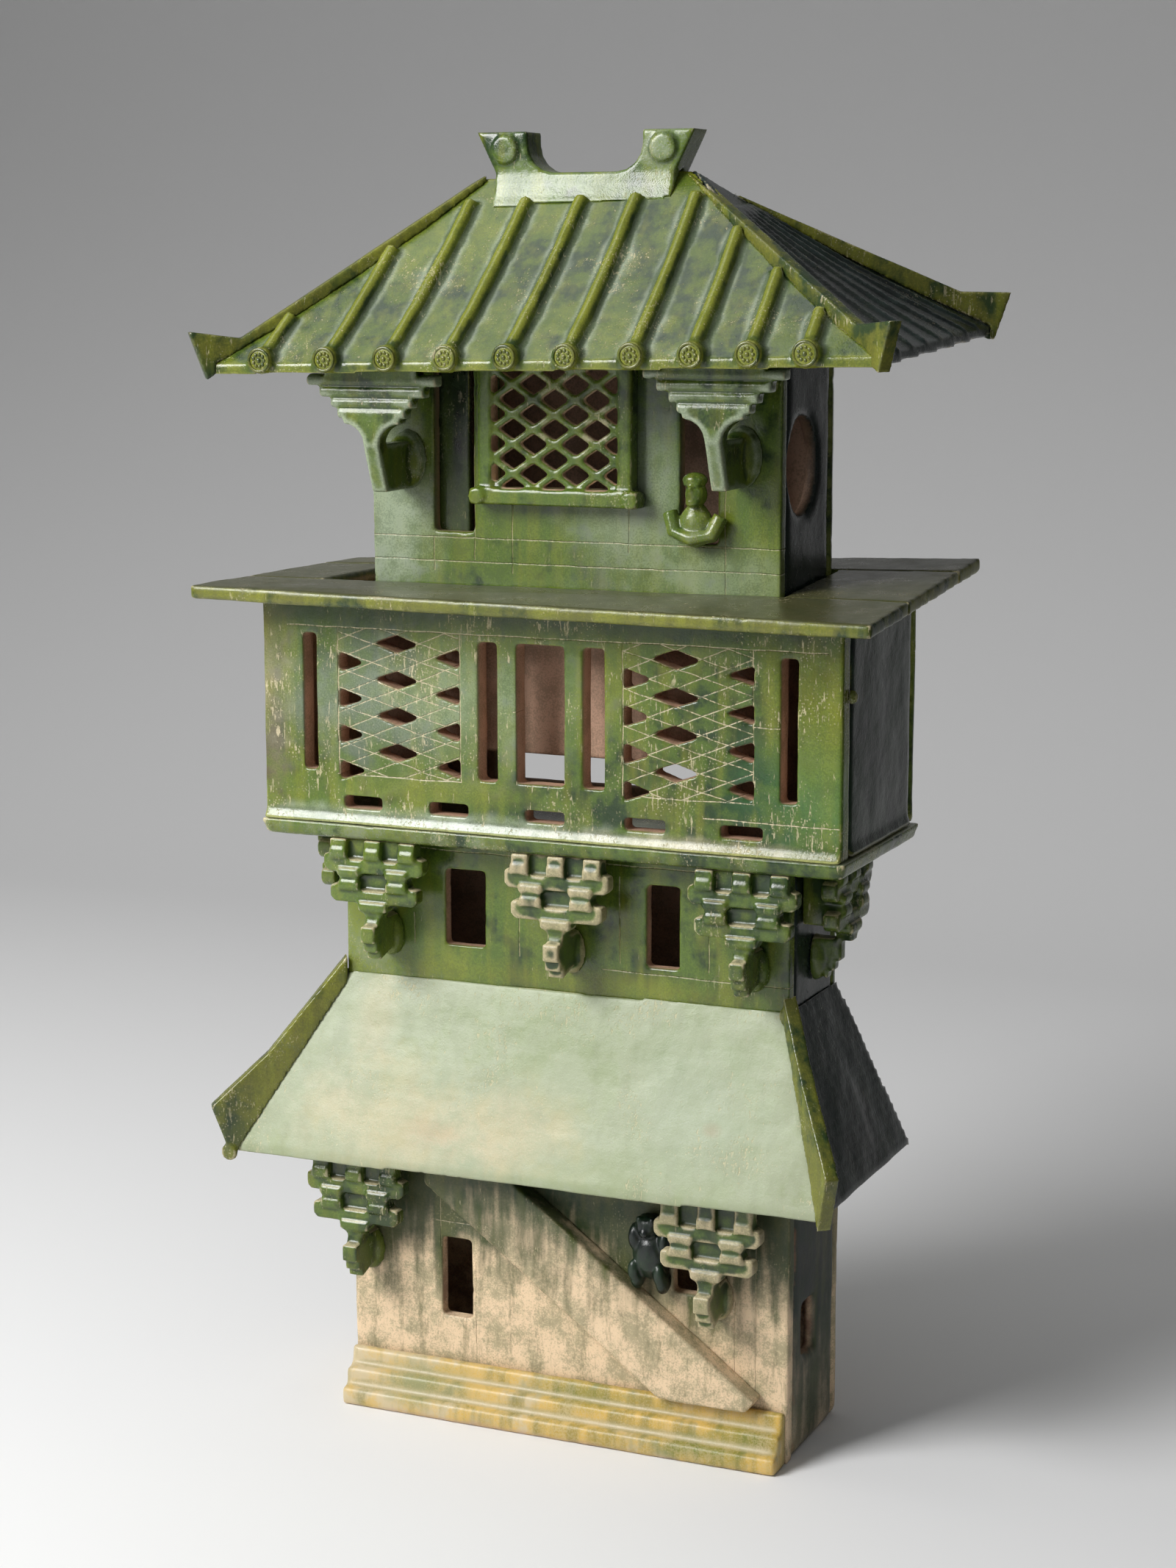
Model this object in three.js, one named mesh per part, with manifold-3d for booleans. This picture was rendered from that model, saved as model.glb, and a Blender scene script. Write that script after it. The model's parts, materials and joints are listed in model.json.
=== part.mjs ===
// A green-glazed pottery watchtower, made as a lower tower and a loose upper tower.
// Millimetres, +Z up, the front faces -Y, the origin is under the middle of the base.
import * as THREE from 'three';
import { mergeVertices } from 'three/addons/utils/BufferGeometryUtils.js';
import Module from 'manifold-3d';

const wasm = await Module();
wasm.setup();

// Clay and clearances
const wall = 12;
const gap = 0.3;

// How far a cutting solid reaches, past every piece, and how many steps a quarter curve has
const farAway = 1500;
const curveSteps = 4;

// Base storey
const baseHalfWidth = 193;
const baseHalfDepth = 62;
const baseWindow = { fromLeft: 95, z: 81, width: 27, height: 68 };
const baseFrontHole = { fromRight: 85.5, z: 130, width: 25, height: 21 };
const baseSideHole = { y: -12, z: 79, width: 32, height: 42 };

// Plinth moulding along the foot of the front wall
const plinthSteps = 3;
const plinthStepHeight = 15;
const plinthStepOut = 9.5;

// Stair ramp, a thick sloping slab on the front wall
const rampDepth = 20;
const rampHeadFromLeft = 75;
const rampFootFromRight = 21;
const rampThickness = 70;
const rampRise = 0.738;
const rampFootCut = 8;
const rampNotch = 10;

// Crouching animal above the ramp: its rounded parts, placed from its middle on the wall
const bearFromRight = 114;
const bearZ = 150;
const bearReach = 20;
const bearParts = [
  { at: [0, -4, 12], radii: [17, 15, 22] },
  { at: [-2, -8, 36], radii: [11, 11, 11] },
  { at: [-11, -8, -6], radii: [6, 10, 12] },
  { at: [11, -8, -8], radii: [6, 10, 12] },
  { at: [-13, -8, 26], radii: [6, 9, 12] },
  { at: [13, -8, 24], radii: [6, 9, 12] },
];

// Skirt roof: how far its eaves stand out from the base, and its fins, which only the front hips have
const skirtOutLeft = 89;
const skirtOutRight = 45;
const skirtOutDepth = 48;
const skirtEaveZ = 224;
const skirtTopZ = 371;
const skirtThickness = 9;
const skirtTilt = 0.01;
const skirtFin = { thickness: 12, footHeight: 34, waistHeight: 30, headHeight: 10, flare: 16 };
const skirtFinDisc = { radius: 7.5, depth: 6, drop: 6 };
const finDiscSides = 10;

// Second storey
const secondShift = -5;
const secondOut = 1;
const secondSetBack = 6;
const secondFootDrop = 21;
const secondWindowLeft = { fromLeft: 109, z: 396, width: 36, height: 63 };
const secondWindowRight = { fromRight: 106, z: 394, width: 28, height: 66 };

// Brackets: their tiers from the ledge down, as beams across the middle line and blocks beside it, each
// between two depths under the ledge and set back from the foremost face
const bracketDepth = 16;
const bracketReach = 36;
const secondBracketFromLeft = 42;
const secondBracketMiddle = 5;
const secondBracketFromRight = 28;
const bracketLap = 1;
const bracketTiers = [
  { width: 15, spread: 31, middle: true, top: 0, bottom: 12, back: 2 },
  { width: 15.5, spread: 31, middle: true, top: 8.5, bottom: 16, back: 0 },
  { width: 90, lift: 4, top: 17, bottom: 28, back: 3 },
  { width: 20, spread: 21.5, top: 24, bottom: 30, back: 0 },
  { width: 17, spread: 21.5, top: 28, bottom: 37, back: 2 },
  { width: 19, spread: 21.5, top: 35, bottom: 41.5, back: 0 },
  { width: 79, lift: 4, top: 42, bottom: 52.5, back: 3 },
  { width: 26, top: 51, bottom: 58, back: 0 },
];
const bracketBacking = [{ width: 74, bottom: 20 }, { width: 56, bottom: 45 }];
const bracketBackingSetBack = 9;
const bracketFunnel = { width: 22, foot: 13, height: 8, rim: 1, back: 2 };
const bracketArm = {
  width: 13.5, neckBack: 1, neck: 3, heights: [14, 8.5, 7], stepsBack: [0, 5, 11], wallRise: 9,
  rootWidth: 26, rootHeight: 40, rootReach: 13, rootDrop: 16,
};
const bracketNoseOut = 8;
const sideBracketNoseOut = -12;
const sideBracketSlab = { halfWidth: 30, height: 50, back: 6 };

// Base brackets, the same moulding cut off by the skirt roof
const baseBracketFromLeft = 17;
const baseBracketFromRight = 58;
const baseBracketTop = 214;
const baseBracketReach = 34;

// Balcony
const balconyShift = -5.5;
const balconyOut = 53;
const balconyFrontWall = 18;
const balconyClearance = 2.5;
const balconyFloorZ = 484;
const balconyFloorThickness = 13;
const lipOut = 4;
const balconySlots = [
  { x: -210, width: 12 }, { x: -52, width: 16 }, { x: -6.5, width: 41 },
  { x: 39, width: 18 }, { x: 199, width: 14 },
];
const balconySlotZ = 540;
const balconySlotHeight = 110;
const balconyFootSlots = [-163, -87, -3, 82, 161];
const footSlot = { z: 510, width: 34, height: 10 };
const leftLattice = { x: -130, middle: -131.5 };
const rightLattice = { x: 117.5, middle: 107 };
const latticeWidth = 107;
const latticeDiamonds = 4;
const latticePitch = 29.2;
const latticeTopZ = 645;
const latticeTilt = 0.066;
const diamond = { width: 42, height: 14.6 };
const sideDiamond = { reach: 24, height: 16, drop: 13 };
const balconyBackOpening = { x: -6, z: 512, width: 212, height: 36 };
const knobRadius = 6;
const leftKnob = { fromFront: 17, drop: 70 };
const rightKnob = { fromFront: 17, drop: 54 };

// Rail slab, with the rise of each corner above its underside's height
const railShift = -6;
const railOut = 37;
const railOutDepth = 48.5;
const railZ = 676;
const railThickness = 11;
const railRise = { frontLeft: 3, frontRight: -2, backLeft: 0, backRight: 21 };
const railClearance = 3;
const railGapLeft = 44;
const railOver = 40;

// Upper storey, standing loose in the rail slab's hole, back and right of its middle
const upperShiftX = 0.5;
const upperShiftY = 15;
const upperHalfWidth = 174.5;
const upperHalfDepth = 62;
const upperNotch = { x: -2, width: 236, height: 59 };
const upperDoor = { x: -101.3, z: 732, width: 34.6 };
const upperDoorLeaf = { width: 34, thickness: 8, slit: 9, lap: 6 };
const upperSideWindow = { x: 108, z: 729, width: 32 };
const ovalHole = { y: 3.5, z: 788, halfWidth: 33, halfHeight: 38, sides: 20 };

// Lattice window of the upper storey
const windowFrame = {
  x: -7.5, z: 768.5, width: 107, height: 92.5, proud: 15, bar: 12, foot: 13, overhang: 6,
};
const windowBar = 5.5;
const windowBarDepth = 8;
const windowBarInset = 1;
const windowDiamondsAcross = 3;
const windowDiamondsUp = 4;
const windowFootProud = 2;
const windowKnobRadius = 7;
const windowKnobProud = 4;
const windowKnobSides = 8;

// Leaning figure on the sill of the right window, from the elbows up: its head and chest, and the line
// that its folded arms follow, placed from the middle of the sill
const figureParts = [
  { at: [0, -5, 15], radii: [14, 10, 18] },
  { at: [2, -10, 39], radii: [9, 9, 10.5] },
];
const figureArmLine = [[-21, -6.5, 25], [-14, -10, 7.5], [0, -12, 5], [14, -10, 7.5], [21, -6.5, 22.5]];
const figureArmRadius = 6.5;
const figureArmSides = 8;

// Upper brackets: a head that rises to the eaves, tiers from there down, and a funnel over the arm
const upperBracketLeft = { x: -142, z: 856 };
const upperBracketRight = { x: 143, z: 865 };
const upperBracketHead = 80;
const upperBracketTiers = [
  { width: 113, height: 8 }, { width: 91, height: 9 }, { width: 71, height: 8 }, { width: 59, height: 8 },
];
const upperBracketEdge = 2.5;
const upperBracketFunnel = { width: 49, foot: 13, height: 21, rim: 4 };
const upperBracketDepth = 15;
const upperBracketReach = 63;
const upperBracketArm = {
  width: 13, height: 37, chin: 20, chinLean: 8, lean: 15, rootWidth: 36, rootHeight: 50, rootReach: 14,
  rootDrop: 14,
};

// Main roof: the heights are those over the middle of the tower, before its lean
const roofEaveLeft = -272;
const roofEaveRight = 284;
const roofEaveHalfDepth = 137;
const roofEaveZ = 878;
const roofRidgeLeft = -93;
const roofRidgeRight = 83;
const roofRidgeZ = 1012;
const roofThickness = 8;
const roofSag = 6;
const roofSteps = 4;
const roofLeanX = 0.0225;
const roofLeanY = 0.06;
const roofFin = { thickness: 12, footHeight: 26, flare: 13.7 };
const roofFins = {
  front_left: { ...roofFin, waistHeight: 3, headHeight: 1 },
  front_right: { ...roofFin, waistHeight: 7, headHeight: -3 },
  back_right: { ...roofFin, waistHeight: 13, headHeight: -6 },
  back_left: { ...roofFin, waistHeight: 13, headHeight: -6 },
};

// Tile ribs and their rosette discs
const ribXs = [-222, -165, -113, -62, -12, 37, 90, 137, 182, 226];
const ribRadius = 6;
const ribSides = 8;
const ribLift = 3;
const ribTopY = 20;
const ribTopScale = 0.93;
const ribTopShift = 12;
const ribHipClearance = 10;
const discRadius = 10.6;
const discThickness = 5;
const discSides = 12;
const sideRibCount = 7;
const sideRibRadius = 3;
const sideRibSides = 6;
const sideRibReach = 0.8;

// Main ridge, with two upturned ends and a disc on each; it flares out over the roof at its foot
const ridgeThickness = 30;
const ridgeValleyZ = 1011.5;
const ridgeTopZ = 1043;
const ridgeOutLeft = 1;
const ridgeOutRight = 7;
const ridgeEndWidth = 43;
const ridgeEndLean = 16;
const ridgeCurve = 22;
const ridgeFlare = { reach: 29, drop: 38, power: 1.5 };
const ridgeDiscRadius = 11;
const ridgeDiscInset = 25;
const ridgeDiscZ = 1029.5;
const ridgeDiscThickness = 4;
const upperTallOverRidge = 50;

const glazes = {
  green: { color: 0x55603a, roughness: 0.35, metalness: 0 },
  olive: { color: 0x6d6b3c, roughness: 0.4, metalness: 0 },
  dark: { color: 0x2c3a2c, roughness: 0.4, metalness: 0 },
  pale: { color: 0x8f9479, roughness: 0.6, metalness: 0 },
  clay: { color: 0xb59a7c, roughness: 0.9, metalness: 0 },
};

// Solids

function toSolid(geometry) {
  const bare = geometry.index ? geometry.toNonIndexed() : geometry.clone();
  bare.deleteAttribute('normal');
  bare.deleteAttribute('uv');
  const merged = mergeVertices(bare, 1e-4);
  return new wasm.Manifold(new wasm.Mesh({
    numProp: 3,
    vertProperties: new Float32Array(merged.attributes.position.array),
    triVerts: new Uint32Array(merged.index.array),
  }));
}

function toGeometry(solid) {
  const mesh = solid.getMesh();
  const geometry = new THREE.BufferGeometry();
  geometry.setAttribute('position', new THREE.BufferAttribute(new Float32Array(mesh.vertProperties), 3));
  geometry.setIndex(new THREE.BufferAttribute(new Uint32Array(mesh.triVerts), 1));
  return geometry;
}

function join(solids) {
  return solids.reduce((whole, solid) => whole.add(solid));
}

function cutAway(solid, cuts) {
  return cuts.reduce((left, cut) => left.subtract(cut), solid);
}

// An axis-aligned block from its lowest and highest corners.
function block(x0, x1, y0, y1, z0, z1) {
  const geometry = new THREE.BoxGeometry(x1 - x0, y1 - y0, z1 - z0);
  geometry.translate((x0 + x1) / 2, (y0 + y1) / 2, (z0 + z1) / 2);
  return toSolid(geometry);
}

// An ellipsoid.
function bead(centre, radii, sides = 12) {
  const geometry = new THREE.SphereGeometry(1, sides, sides / 2);
  geometry.scale(...radii);
  geometry.translate(...centre);
  return toSolid(geometry);
}

// A disc that faces along Y.
function disc(x, y0, y1, z, radius, sides = discSides) {
  const geometry = new THREE.CylinderGeometry(radius, radius, y1 - y0, sides);
  geometry.translate(x, (y0 + y1) / 2, z);
  return toSolid(geometry);
}

// An upright plate: its outline runs along a heading in plan and up Z, centred on the plane of the origin.
function uprightPlate(points, thickness, origin = [0, 0, 0], heading = 0) {
  const outline = new THREE.Shape(points.map(([along, z]) => new THREE.Vector2(along, z)));
  const geometry = new THREE.ExtrudeGeometry(outline, { depth: thickness, bevelEnabled: false });
  geometry.translate(0, 0, -thickness / 2);
  const along = new THREE.Vector3(Math.cos(heading), Math.sin(heading), 0);
  const up = new THREE.Vector3(0, 0, 1);
  const across = new THREE.Vector3().crossVectors(along, up);
  geometry.applyMatrix4(new THREE.Matrix4().makeBasis(along, up, across));
  geometry.translate(...origin);
  return toSolid(geometry);
}

// A round rod along a smooth line.
function rod(points, radius, sides) {
  const section = new THREE.Shape();
  for (let i = 0; i < sides; i += 1) {
    const angle = 2 * Math.PI * i / sides;
    section[i ? 'lineTo' : 'moveTo'](radius * Math.cos(angle), radius * Math.sin(angle));
  }
  const path = new THREE.CatmullRomCurve3(points.map((point) => new THREE.Vector3(...point)));
  const geometry = new THREE.ExtrudeGeometry(section, {
    steps: points.length - 1, bevelEnabled: false, extrudePath: path,
  });
  return toSolid(geometry);
}

// A closed solid from flat faces, each a list of corners that turns left seen from outside.
function faceted(faces) {
  const positions = [];
  for (const face of faces) {
    for (let i = 1; i < face.length - 1; i += 1) {
      positions.push(...face[0], ...face[i], ...face[i + 1]);
    }
  }
  const geometry = new THREE.BufferGeometry();
  geometry.setAttribute('position', new THREE.Float32BufferAttribute(positions, 3));
  return toSolid(geometry);
}

// A solid between rings of four corners, the lowest ring first.
function loft(rings) {
  const faces = [[...rings[0]].reverse(), rings[rings.length - 1]];
  for (let k = 0; k < rings.length - 1; k += 1) {
    for (let i = 0; i < 4; i += 1) {
      const j = (i + 1) % 4;
      faces.push([rings[k][i], rings[k][j], rings[k + 1][j], rings[k + 1][i]]);
    }
  }
  return faceted(faces);
}

// Hipped roofs: rings of four corners from the eaves up, each front left, front right, back right, back left

function roofRings(eave, top, steps, sag, leanX, leanY) {
  const rings = [];
  for (let k = 0; k <= steps; k += 1) {
    const t = k / steps;
    const mix = (key) => eave[key] + (top[key] - eave[key]) * t;
    const height = mix('z') - 4 * sag * t * (1 - t);
    const corner = (x, y) => [x, y, height + leanX * x + leanY * y];
    const [left, right, half] = [mix('left'), mix('right'), mix('halfDepth')];
    rings.push([corner(left, -half), corner(right, -half), corner(right, half), corner(left, half)]);
  }
  return rings;
}

function raised(rings, rise) {
  return rings.map((ring) => ring.map(([x, y, z]) => [x, y, z + rise]));
}

// The room under a roof's surface, down to far below the tower's foot.
function under(rings, rise) {
  const up = raised(rings, rise);
  return loft([up[0].map(([x, y]) => [x, y, -farAway]), ...up]);
}

// The room in front of an upright plane across Y.
function inFront(y) {
  return block(-farAway, farAway, y - farAway, y, -farAway, farAway);
}

const sides = ['front', 'right', 'back', 'left'];

// One side of a hipped roof: a slab of even height under its surface.
function slope(rings, side, thickness) {
  const i = sides.indexOf(side);
  const seam = side === 'front' || side === 'back' ? 2 * gap : 0;
  const inset = side === 'front' ? seam : -seam;
  const lefts = rings.map((ring) => [ring[i][0] + inset, ring[i][1], ring[i][2]]);
  const rights = rings.map((ring) => {
    const [x, y, z] = ring[(i + 1) % 4];
    return [x - inset, y, z];
  });
  const low = ([x, y, z]) => [x, y, z - thickness];
  const faces = [];
  for (let k = 0; k < rings.length - 1; k += 1) {
    const quad = [lefts[k], rights[k], rights[k + 1], lefts[k + 1]];
    faces.push(quad, quad.map(low).reverse());
  }
  const border = [...lefts.slice(0, 1), ...rights, ...lefts.slice(1).reverse()];
  border.forEach((from, k) => {
    const to = border[(k + 1) % border.length];
    faces.push([low(from), low(to), to, from]);
  });
  return faceted(faces);
}

// The upright plate of a fin along a hip, from the eave's corner up, flared outwards at its foot.
function hipPlate(rings, corner, fin, thickness) {
  const foot = rings[0][corner];
  const head = rings[rings.length - 1][corner];
  const run = Math.hypot(head[0] - foot[0], head[1] - foot[1]);
  const heading = Math.atan2(head[1] - foot[1], head[0] - foot[0]);
  const rise = head[2] - foot[2];
  const foldAt = fin.flare * 2;
  const outline = [
    [0, -fin.thickness],
    [run, rise - fin.thickness],
    [run, rise + fin.headHeight],
    [foldAt, foldAt * rise / run + fin.waistHeight],
    [-fin.flare, fin.footHeight],
  ];
  return uprightPlate(outline, thickness, foot, heading);
}

function hipFin(rings, corner, fin) {
  return hipPlate(rings, corner, fin, fin.thickness).subtract(under(rings, gap))
    .intersect(ownHalf(rings, corner));
}

// A disc that faces forwards on the foot or the head of a front hip.
function hipDisc([x, y, z], { radius, depth, drop }) {
  return disc(x, y - depth, y, z - drop, radius, finDiscSides);
}

// The front or back half of the room over a roof, for fins that meet in its middle.
function ownHalf(rings, corner) {
  const side = Math.sign(rings[0][corner][1]);
  const near = side * gap;
  const far = side * farAway;
  return block(-farAway, farAway, Math.min(near, far), Math.max(near, far), -farAway, farAway);
}

// Scene

const tower = new THREE.Group();
const lowerTower = new THREE.Group();
const upperTower = new THREE.Group();
tower.add(lowerTower, upperTower);

function storey(parent) {
  const group = new THREE.Group();
  parent.add(group);
  return group;
}

function add(group, name, solid, glaze) {
  const mesh = new THREE.Mesh(toGeometry(solid), new THREE.MeshStandardMaterial(glazes[glaze]));
  mesh.name = name;
  group.add(mesh);
  return mesh;
}

// Four walls of a storey: front and back run the full width, the sides stand between them.
function addWalls(group, prefix, box, glaze, finish) {
  const { left, right, front, back, bottom, top } = box;
  const inside = front + (box.frontWall ?? wall);
  const slabs = {
    front: block(left, right, front, inside, bottom, top),
    back: block(left, right, back - wall, back, bottom, top),
    left: block(left, left + wall, inside + gap, back - wall - gap, bottom, top),
    right: block(right - wall, right, inside + gap, back - wall - gap, bottom, top),
  };
  for (const side of ['front', 'back', 'left', 'right']) {
    add(group, `${prefix}_${side}_wall`, finish(slabs[side], side), glaze);
  }
}

// A hole through a wall that runs along X, from y0 to y1.
function opening({ x, z, width, height }, y0, y1) {
  return block(x - width / 2, x + width / 2, y0 - 1, y1 + 1, z, z + height);
}

// Skirt roof
const secondHalfDepth = baseHalfDepth - secondSetBack;
const secondLeft = secondShift - baseHalfWidth - secondOut;
const secondRight = secondShift + baseHalfWidth + secondOut;
const skirtRings = roofRings(
  {
    left: -baseHalfWidth - skirtOutLeft, right: baseHalfWidth + skirtOutRight,
    halfDepth: baseHalfDepth + skirtOutDepth, z: skirtEaveZ,
  },
  { left: secondLeft - gap, right: secondRight + gap, halfDepth: secondHalfDepth + gap, z: skirtTopZ },
  1, 0, skirtTilt, 0,
);
const underSkirt = under(skirtRings, -skirtThickness - gap);
const skirtRoof = storey(lowerTower);
for (const side of sides) {
  add(skirtRoof, `skirt_roof_${side}`, slope(skirtRings, side, skirtThickness), 'pale');
}
const cornerNames = ['front_left', 'front_right', 'back_right', 'back_left'];
const [skirtEave, skirtTop] = [skirtRings[0], skirtRings[skirtRings.length - 1]];
const finDiscs = { front_left: skirtEave[0], front_right: skirtTop[1] };
for (const [name, place] of Object.entries(finDiscs)) {
  const corner = cornerNames.indexOf(name);
  const overSkirt = hipDisc(place, skirtFinDisc).subtract(under(skirtRings, gap));
  const fin = hipFin(skirtRings, corner, skirtFin).add(overSkirt);
  add(skirtRoof, `skirt_hip_fin_${name}`, fin, 'olive');
}

// Base storey
const baseStorey = storey(lowerTower);
const secondFootZ = skirtTopZ - secondFootDrop;
const baseFront = -baseHalfDepth;
const baseWindowX = -baseHalfWidth + baseWindow.fromLeft;
const baseFrontHoleX = baseHalfWidth - baseFrontHole.fromRight;
const baseCuts = {
  front: [
    opening({ ...baseWindow, x: baseWindowX }, baseFront, baseFront + wall),
    opening({ ...baseFrontHole, x: baseFrontHoleX }, baseFront, baseFront + wall),
  ],
  right: [block(
    baseHalfWidth - wall - 1, baseHalfWidth + 1,
    baseSideHole.y - baseSideHole.width / 2, baseSideHole.y + baseSideHole.width / 2,
    baseSideHole.z, baseSideHole.z + baseSideHole.height,
  )],
};
const baseBox = {
  left: -baseHalfWidth, right: baseHalfWidth, front: baseFront, back: baseHalfDepth,
  bottom: 0, top: secondFootZ - gap,
};
addWalls(baseStorey, 'base', baseBox, 'pale', (slab, side) => (
  cutAway(slab.intersect(underSkirt), baseCuts[side] ?? [])
));

const plinthTop = plinthSteps * plinthStepHeight;
const plinthLayers = [];
for (let step = 0; step < plinthSteps; step += 1) {
  const out = (plinthSteps - step) * plinthStepOut;
  plinthLayers.push(block(
    -baseHalfWidth, baseHalfWidth, baseFront - gap - out, baseFront - gap,
    0, (step + 1) * plinthStepHeight,
  ));
}
add(baseStorey, 'base_plinth_moulding', join(plinthLayers), 'olive');

// The ramp's upper edge falls to its foot, and its lower edge runs beside it
const rampHeadX = -baseHalfWidth + rampHeadFromLeft;
const rampFootX = baseHalfWidth - rampFootFromRight;
const rampFootZ = plinthTop + gap;
const rampEdgeZ = (x) => rampFootZ + rampNotch + (rampFootX - x) * rampRise;
const rampLowX = rampFootX + (rampNotch - rampThickness) / rampRise;
const rampOutline = [
  [rampHeadX, rampEdgeZ(rampHeadX) - rampThickness],
  [rampLowX, rampFootZ],
  [rampFootX - rampFootCut, rampFootZ],
  [rampFootX, rampFootZ + rampNotch],
  [rampHeadX, rampEdgeZ(rampHeadX)],
];
const rampY = baseFront - gap - rampDepth / 2;
const ramp = uprightPlate(rampOutline, rampDepth, [0, rampY, 0]).intersect(underSkirt);
add(baseStorey, 'stair_ramp', ramp, 'pale');

// Brackets

// A beam across a bracket, its ends rounded and turned up.
function beamSolid(x, y0, y1, topZ, { width, top, bottom, lift }) {
  const half = width / 2;
  const high = topZ - top;
  const low = topZ - bottom;
  const right = [
    [half - lift, low], [half, low + lift], [half, high + lift / 2], [half - lift / 2, high + lift],
    [half - 2 * lift, high + lift], [half - 3 * lift, high],
  ];
  const left = right.map(([along, z]) => [-along, z]).reverse();
  return uprightPlate([...right, ...left], y1 - y0, [x, (y0 + y1) / 2, 0]);
}

// A bracket's moulded front, hung from a ledge at topZ, with stems that can be extended up by rise.
function bracketFront(x, y0, topZ, rise) {
  const y1 = y0 + bracketDepth;
  const solids = bracketBacking.map(({ width, bottom }) => (
    block(x - width / 2, x + width / 2, y0 + bracketBackingSetBack, y1, topZ - bottom, topZ + rise)
  ));
  for (const tier of bracketTiers) {
    const face = y0 + tier.back;
    if (tier.lift) {
      solids.push(beamSolid(x, face, y1, topZ, tier));
    } else {
      const places = tier.spread ? [-tier.spread, tier.spread] : [0];
      if (tier.middle) places.push(0);
      const top = tier.top ? topZ - tier.top : topZ + rise;
      for (const place of places) {
        const left = x + place - tier.width / 2;
        solids.push(block(left, left + tier.width, face, y1, topZ - tier.bottom, top));
      }
    }
  }
  return join(solids);
}

// A funnel with hollow sides between a bracket's tiers and its arm.
function funnelSolid(x, y0, y1, topZ, { width, foot, height, rim }) {
  const right = [[width / 2, topZ + bracketLap]];
  for (let k = 0; k <= curveSteps; k += 1) {
    const angle = Math.PI / 2 * k / curveSteps;
    right.push([
      foot / 2 + (width - foot) / 2 * (1 - Math.sin(angle)),
      topZ - rim - (height - rim) * (1 - Math.cos(angle)),
    ]);
  }
  const left = right.map(([along, z]) => [-along, z]).reverse();
  return uprightPlate([...right, ...left].reverse(), y1 - y0, [x, (y0 + y1) / 2, 0]);
}

// The rounded root of a bracket's arm, where it flares out on the wall.
function armRoot(x, wallY, topZ, { rootWidth, rootHeight, rootReach, rootDrop }) {
  const root = bead([x, wallY, topZ - rootDrop], [rootWidth / 2, rootReach, rootHeight / 2]);
  return root.intersect(inFront(wallY));
}

// An upright plate across X from its outline along Y and up Z.
function sidePlate(outline, width, x) {
  return uprightPlate([...outline].reverse(), width, [x, 0, 0], Math.PI / 2);
}

// A bracket's arm from the wall, which steps back from its nose down, its underside rising to the wall.
function steppedArm(x, y0, wallY, topZ, nose, arm) {
  const neckY = Math.max(nose, y0 + arm.neckBack);
  const outline = [[wallY, topZ + bracketLap], [neckY, topZ + bracketLap]];
  let z = topZ - arm.neck;
  if (nose < neckY) outline.push([neckY, z]);
  arm.heights.forEach((height, i) => {
    const face = nose + arm.stepsBack[i];
    outline.push([face, z], [face, z - height]);
    z -= height;
  });
  outline.push([wallY, z + arm.wallRise]);
  return sidePlate(outline, arm.width, x).add(armRoot(x, wallY, topZ, arm));
}

// A bracket's arm whose front leans back towards its chin.
function leaningArm(x, y0, wallY, topZ, arm) {
  const outline = [
    [wallY, topZ + bracketLap], [y0, topZ + bracketLap],
    [y0 + arm.chinLean, topZ - arm.chin], [y0 + arm.lean, topZ - arm.height],
    [wallY, topZ - arm.height],
  ];
  return sidePlate(outline, arm.width, x).add(armRoot(x, wallY, topZ, arm));
}

function bracket(x, wallY, reach, topZ, noseOut, rise = 0) {
  const y0 = wallY - reach;
  const frontBottom = topZ - Math.max(...bracketTiers.map((tier) => tier.bottom));
  const { back } = bracketFunnel;
  const funnel = funnelSolid(x, y0 + back, y0 + bracketDepth, frontBottom, bracketFunnel);
  const armTop = frontBottom - bracketFunnel.height;
  const arm = steppedArm(x, y0, wallY, armTop, y0 - noseOut, bracketArm);
  return bracketFront(x, y0, topZ, rise).add(funnel).add(arm);
}

// The base brackets rise to the underside of the skirt roof
const baseBracketXs = {
  left: -baseHalfWidth + baseBracketFromLeft, right: baseHalfWidth - baseBracketFromRight,
};
for (const [name, x] of Object.entries(baseBracketXs)) {
  const rise = skirtTopZ - baseBracketTop;
  const solid = bracket(x, baseFront - gap, baseBracketReach, baseBracketTop, bracketNoseOut, rise);
  add(baseStorey, `base_bracket_${name}`, solid.intersect(underSkirt), 'green');
}

// Crouching animal, kept clear of the ramp and the right bracket
const rampClearance = uprightPlate(
  rampOutline.map(([x, z]) => [x, z + 2 * gap]), rampDepth + 4 * gap, [0, rampY, 0],
);

// Rounded parts placed from a point on a wall's face, cut off by the wall.
function modelled(parts, [x, y, z]) {
  const beads = parts.map(({ at, radii }) => bead([x + at[0], y + at[1], z + at[2]], radii));
  return join(beads).intersect(inFront(y));
}
const bearFace = baseFront - gap;
const bear = modelled(bearParts, [baseHalfWidth - bearFromRight, bearFace, bearZ])
  .subtract(inFront(bearFace - bearReach)).subtract(rampClearance).intersect(underSkirt);
add(baseStorey, 'stair_bear', bear, 'dark');

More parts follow.
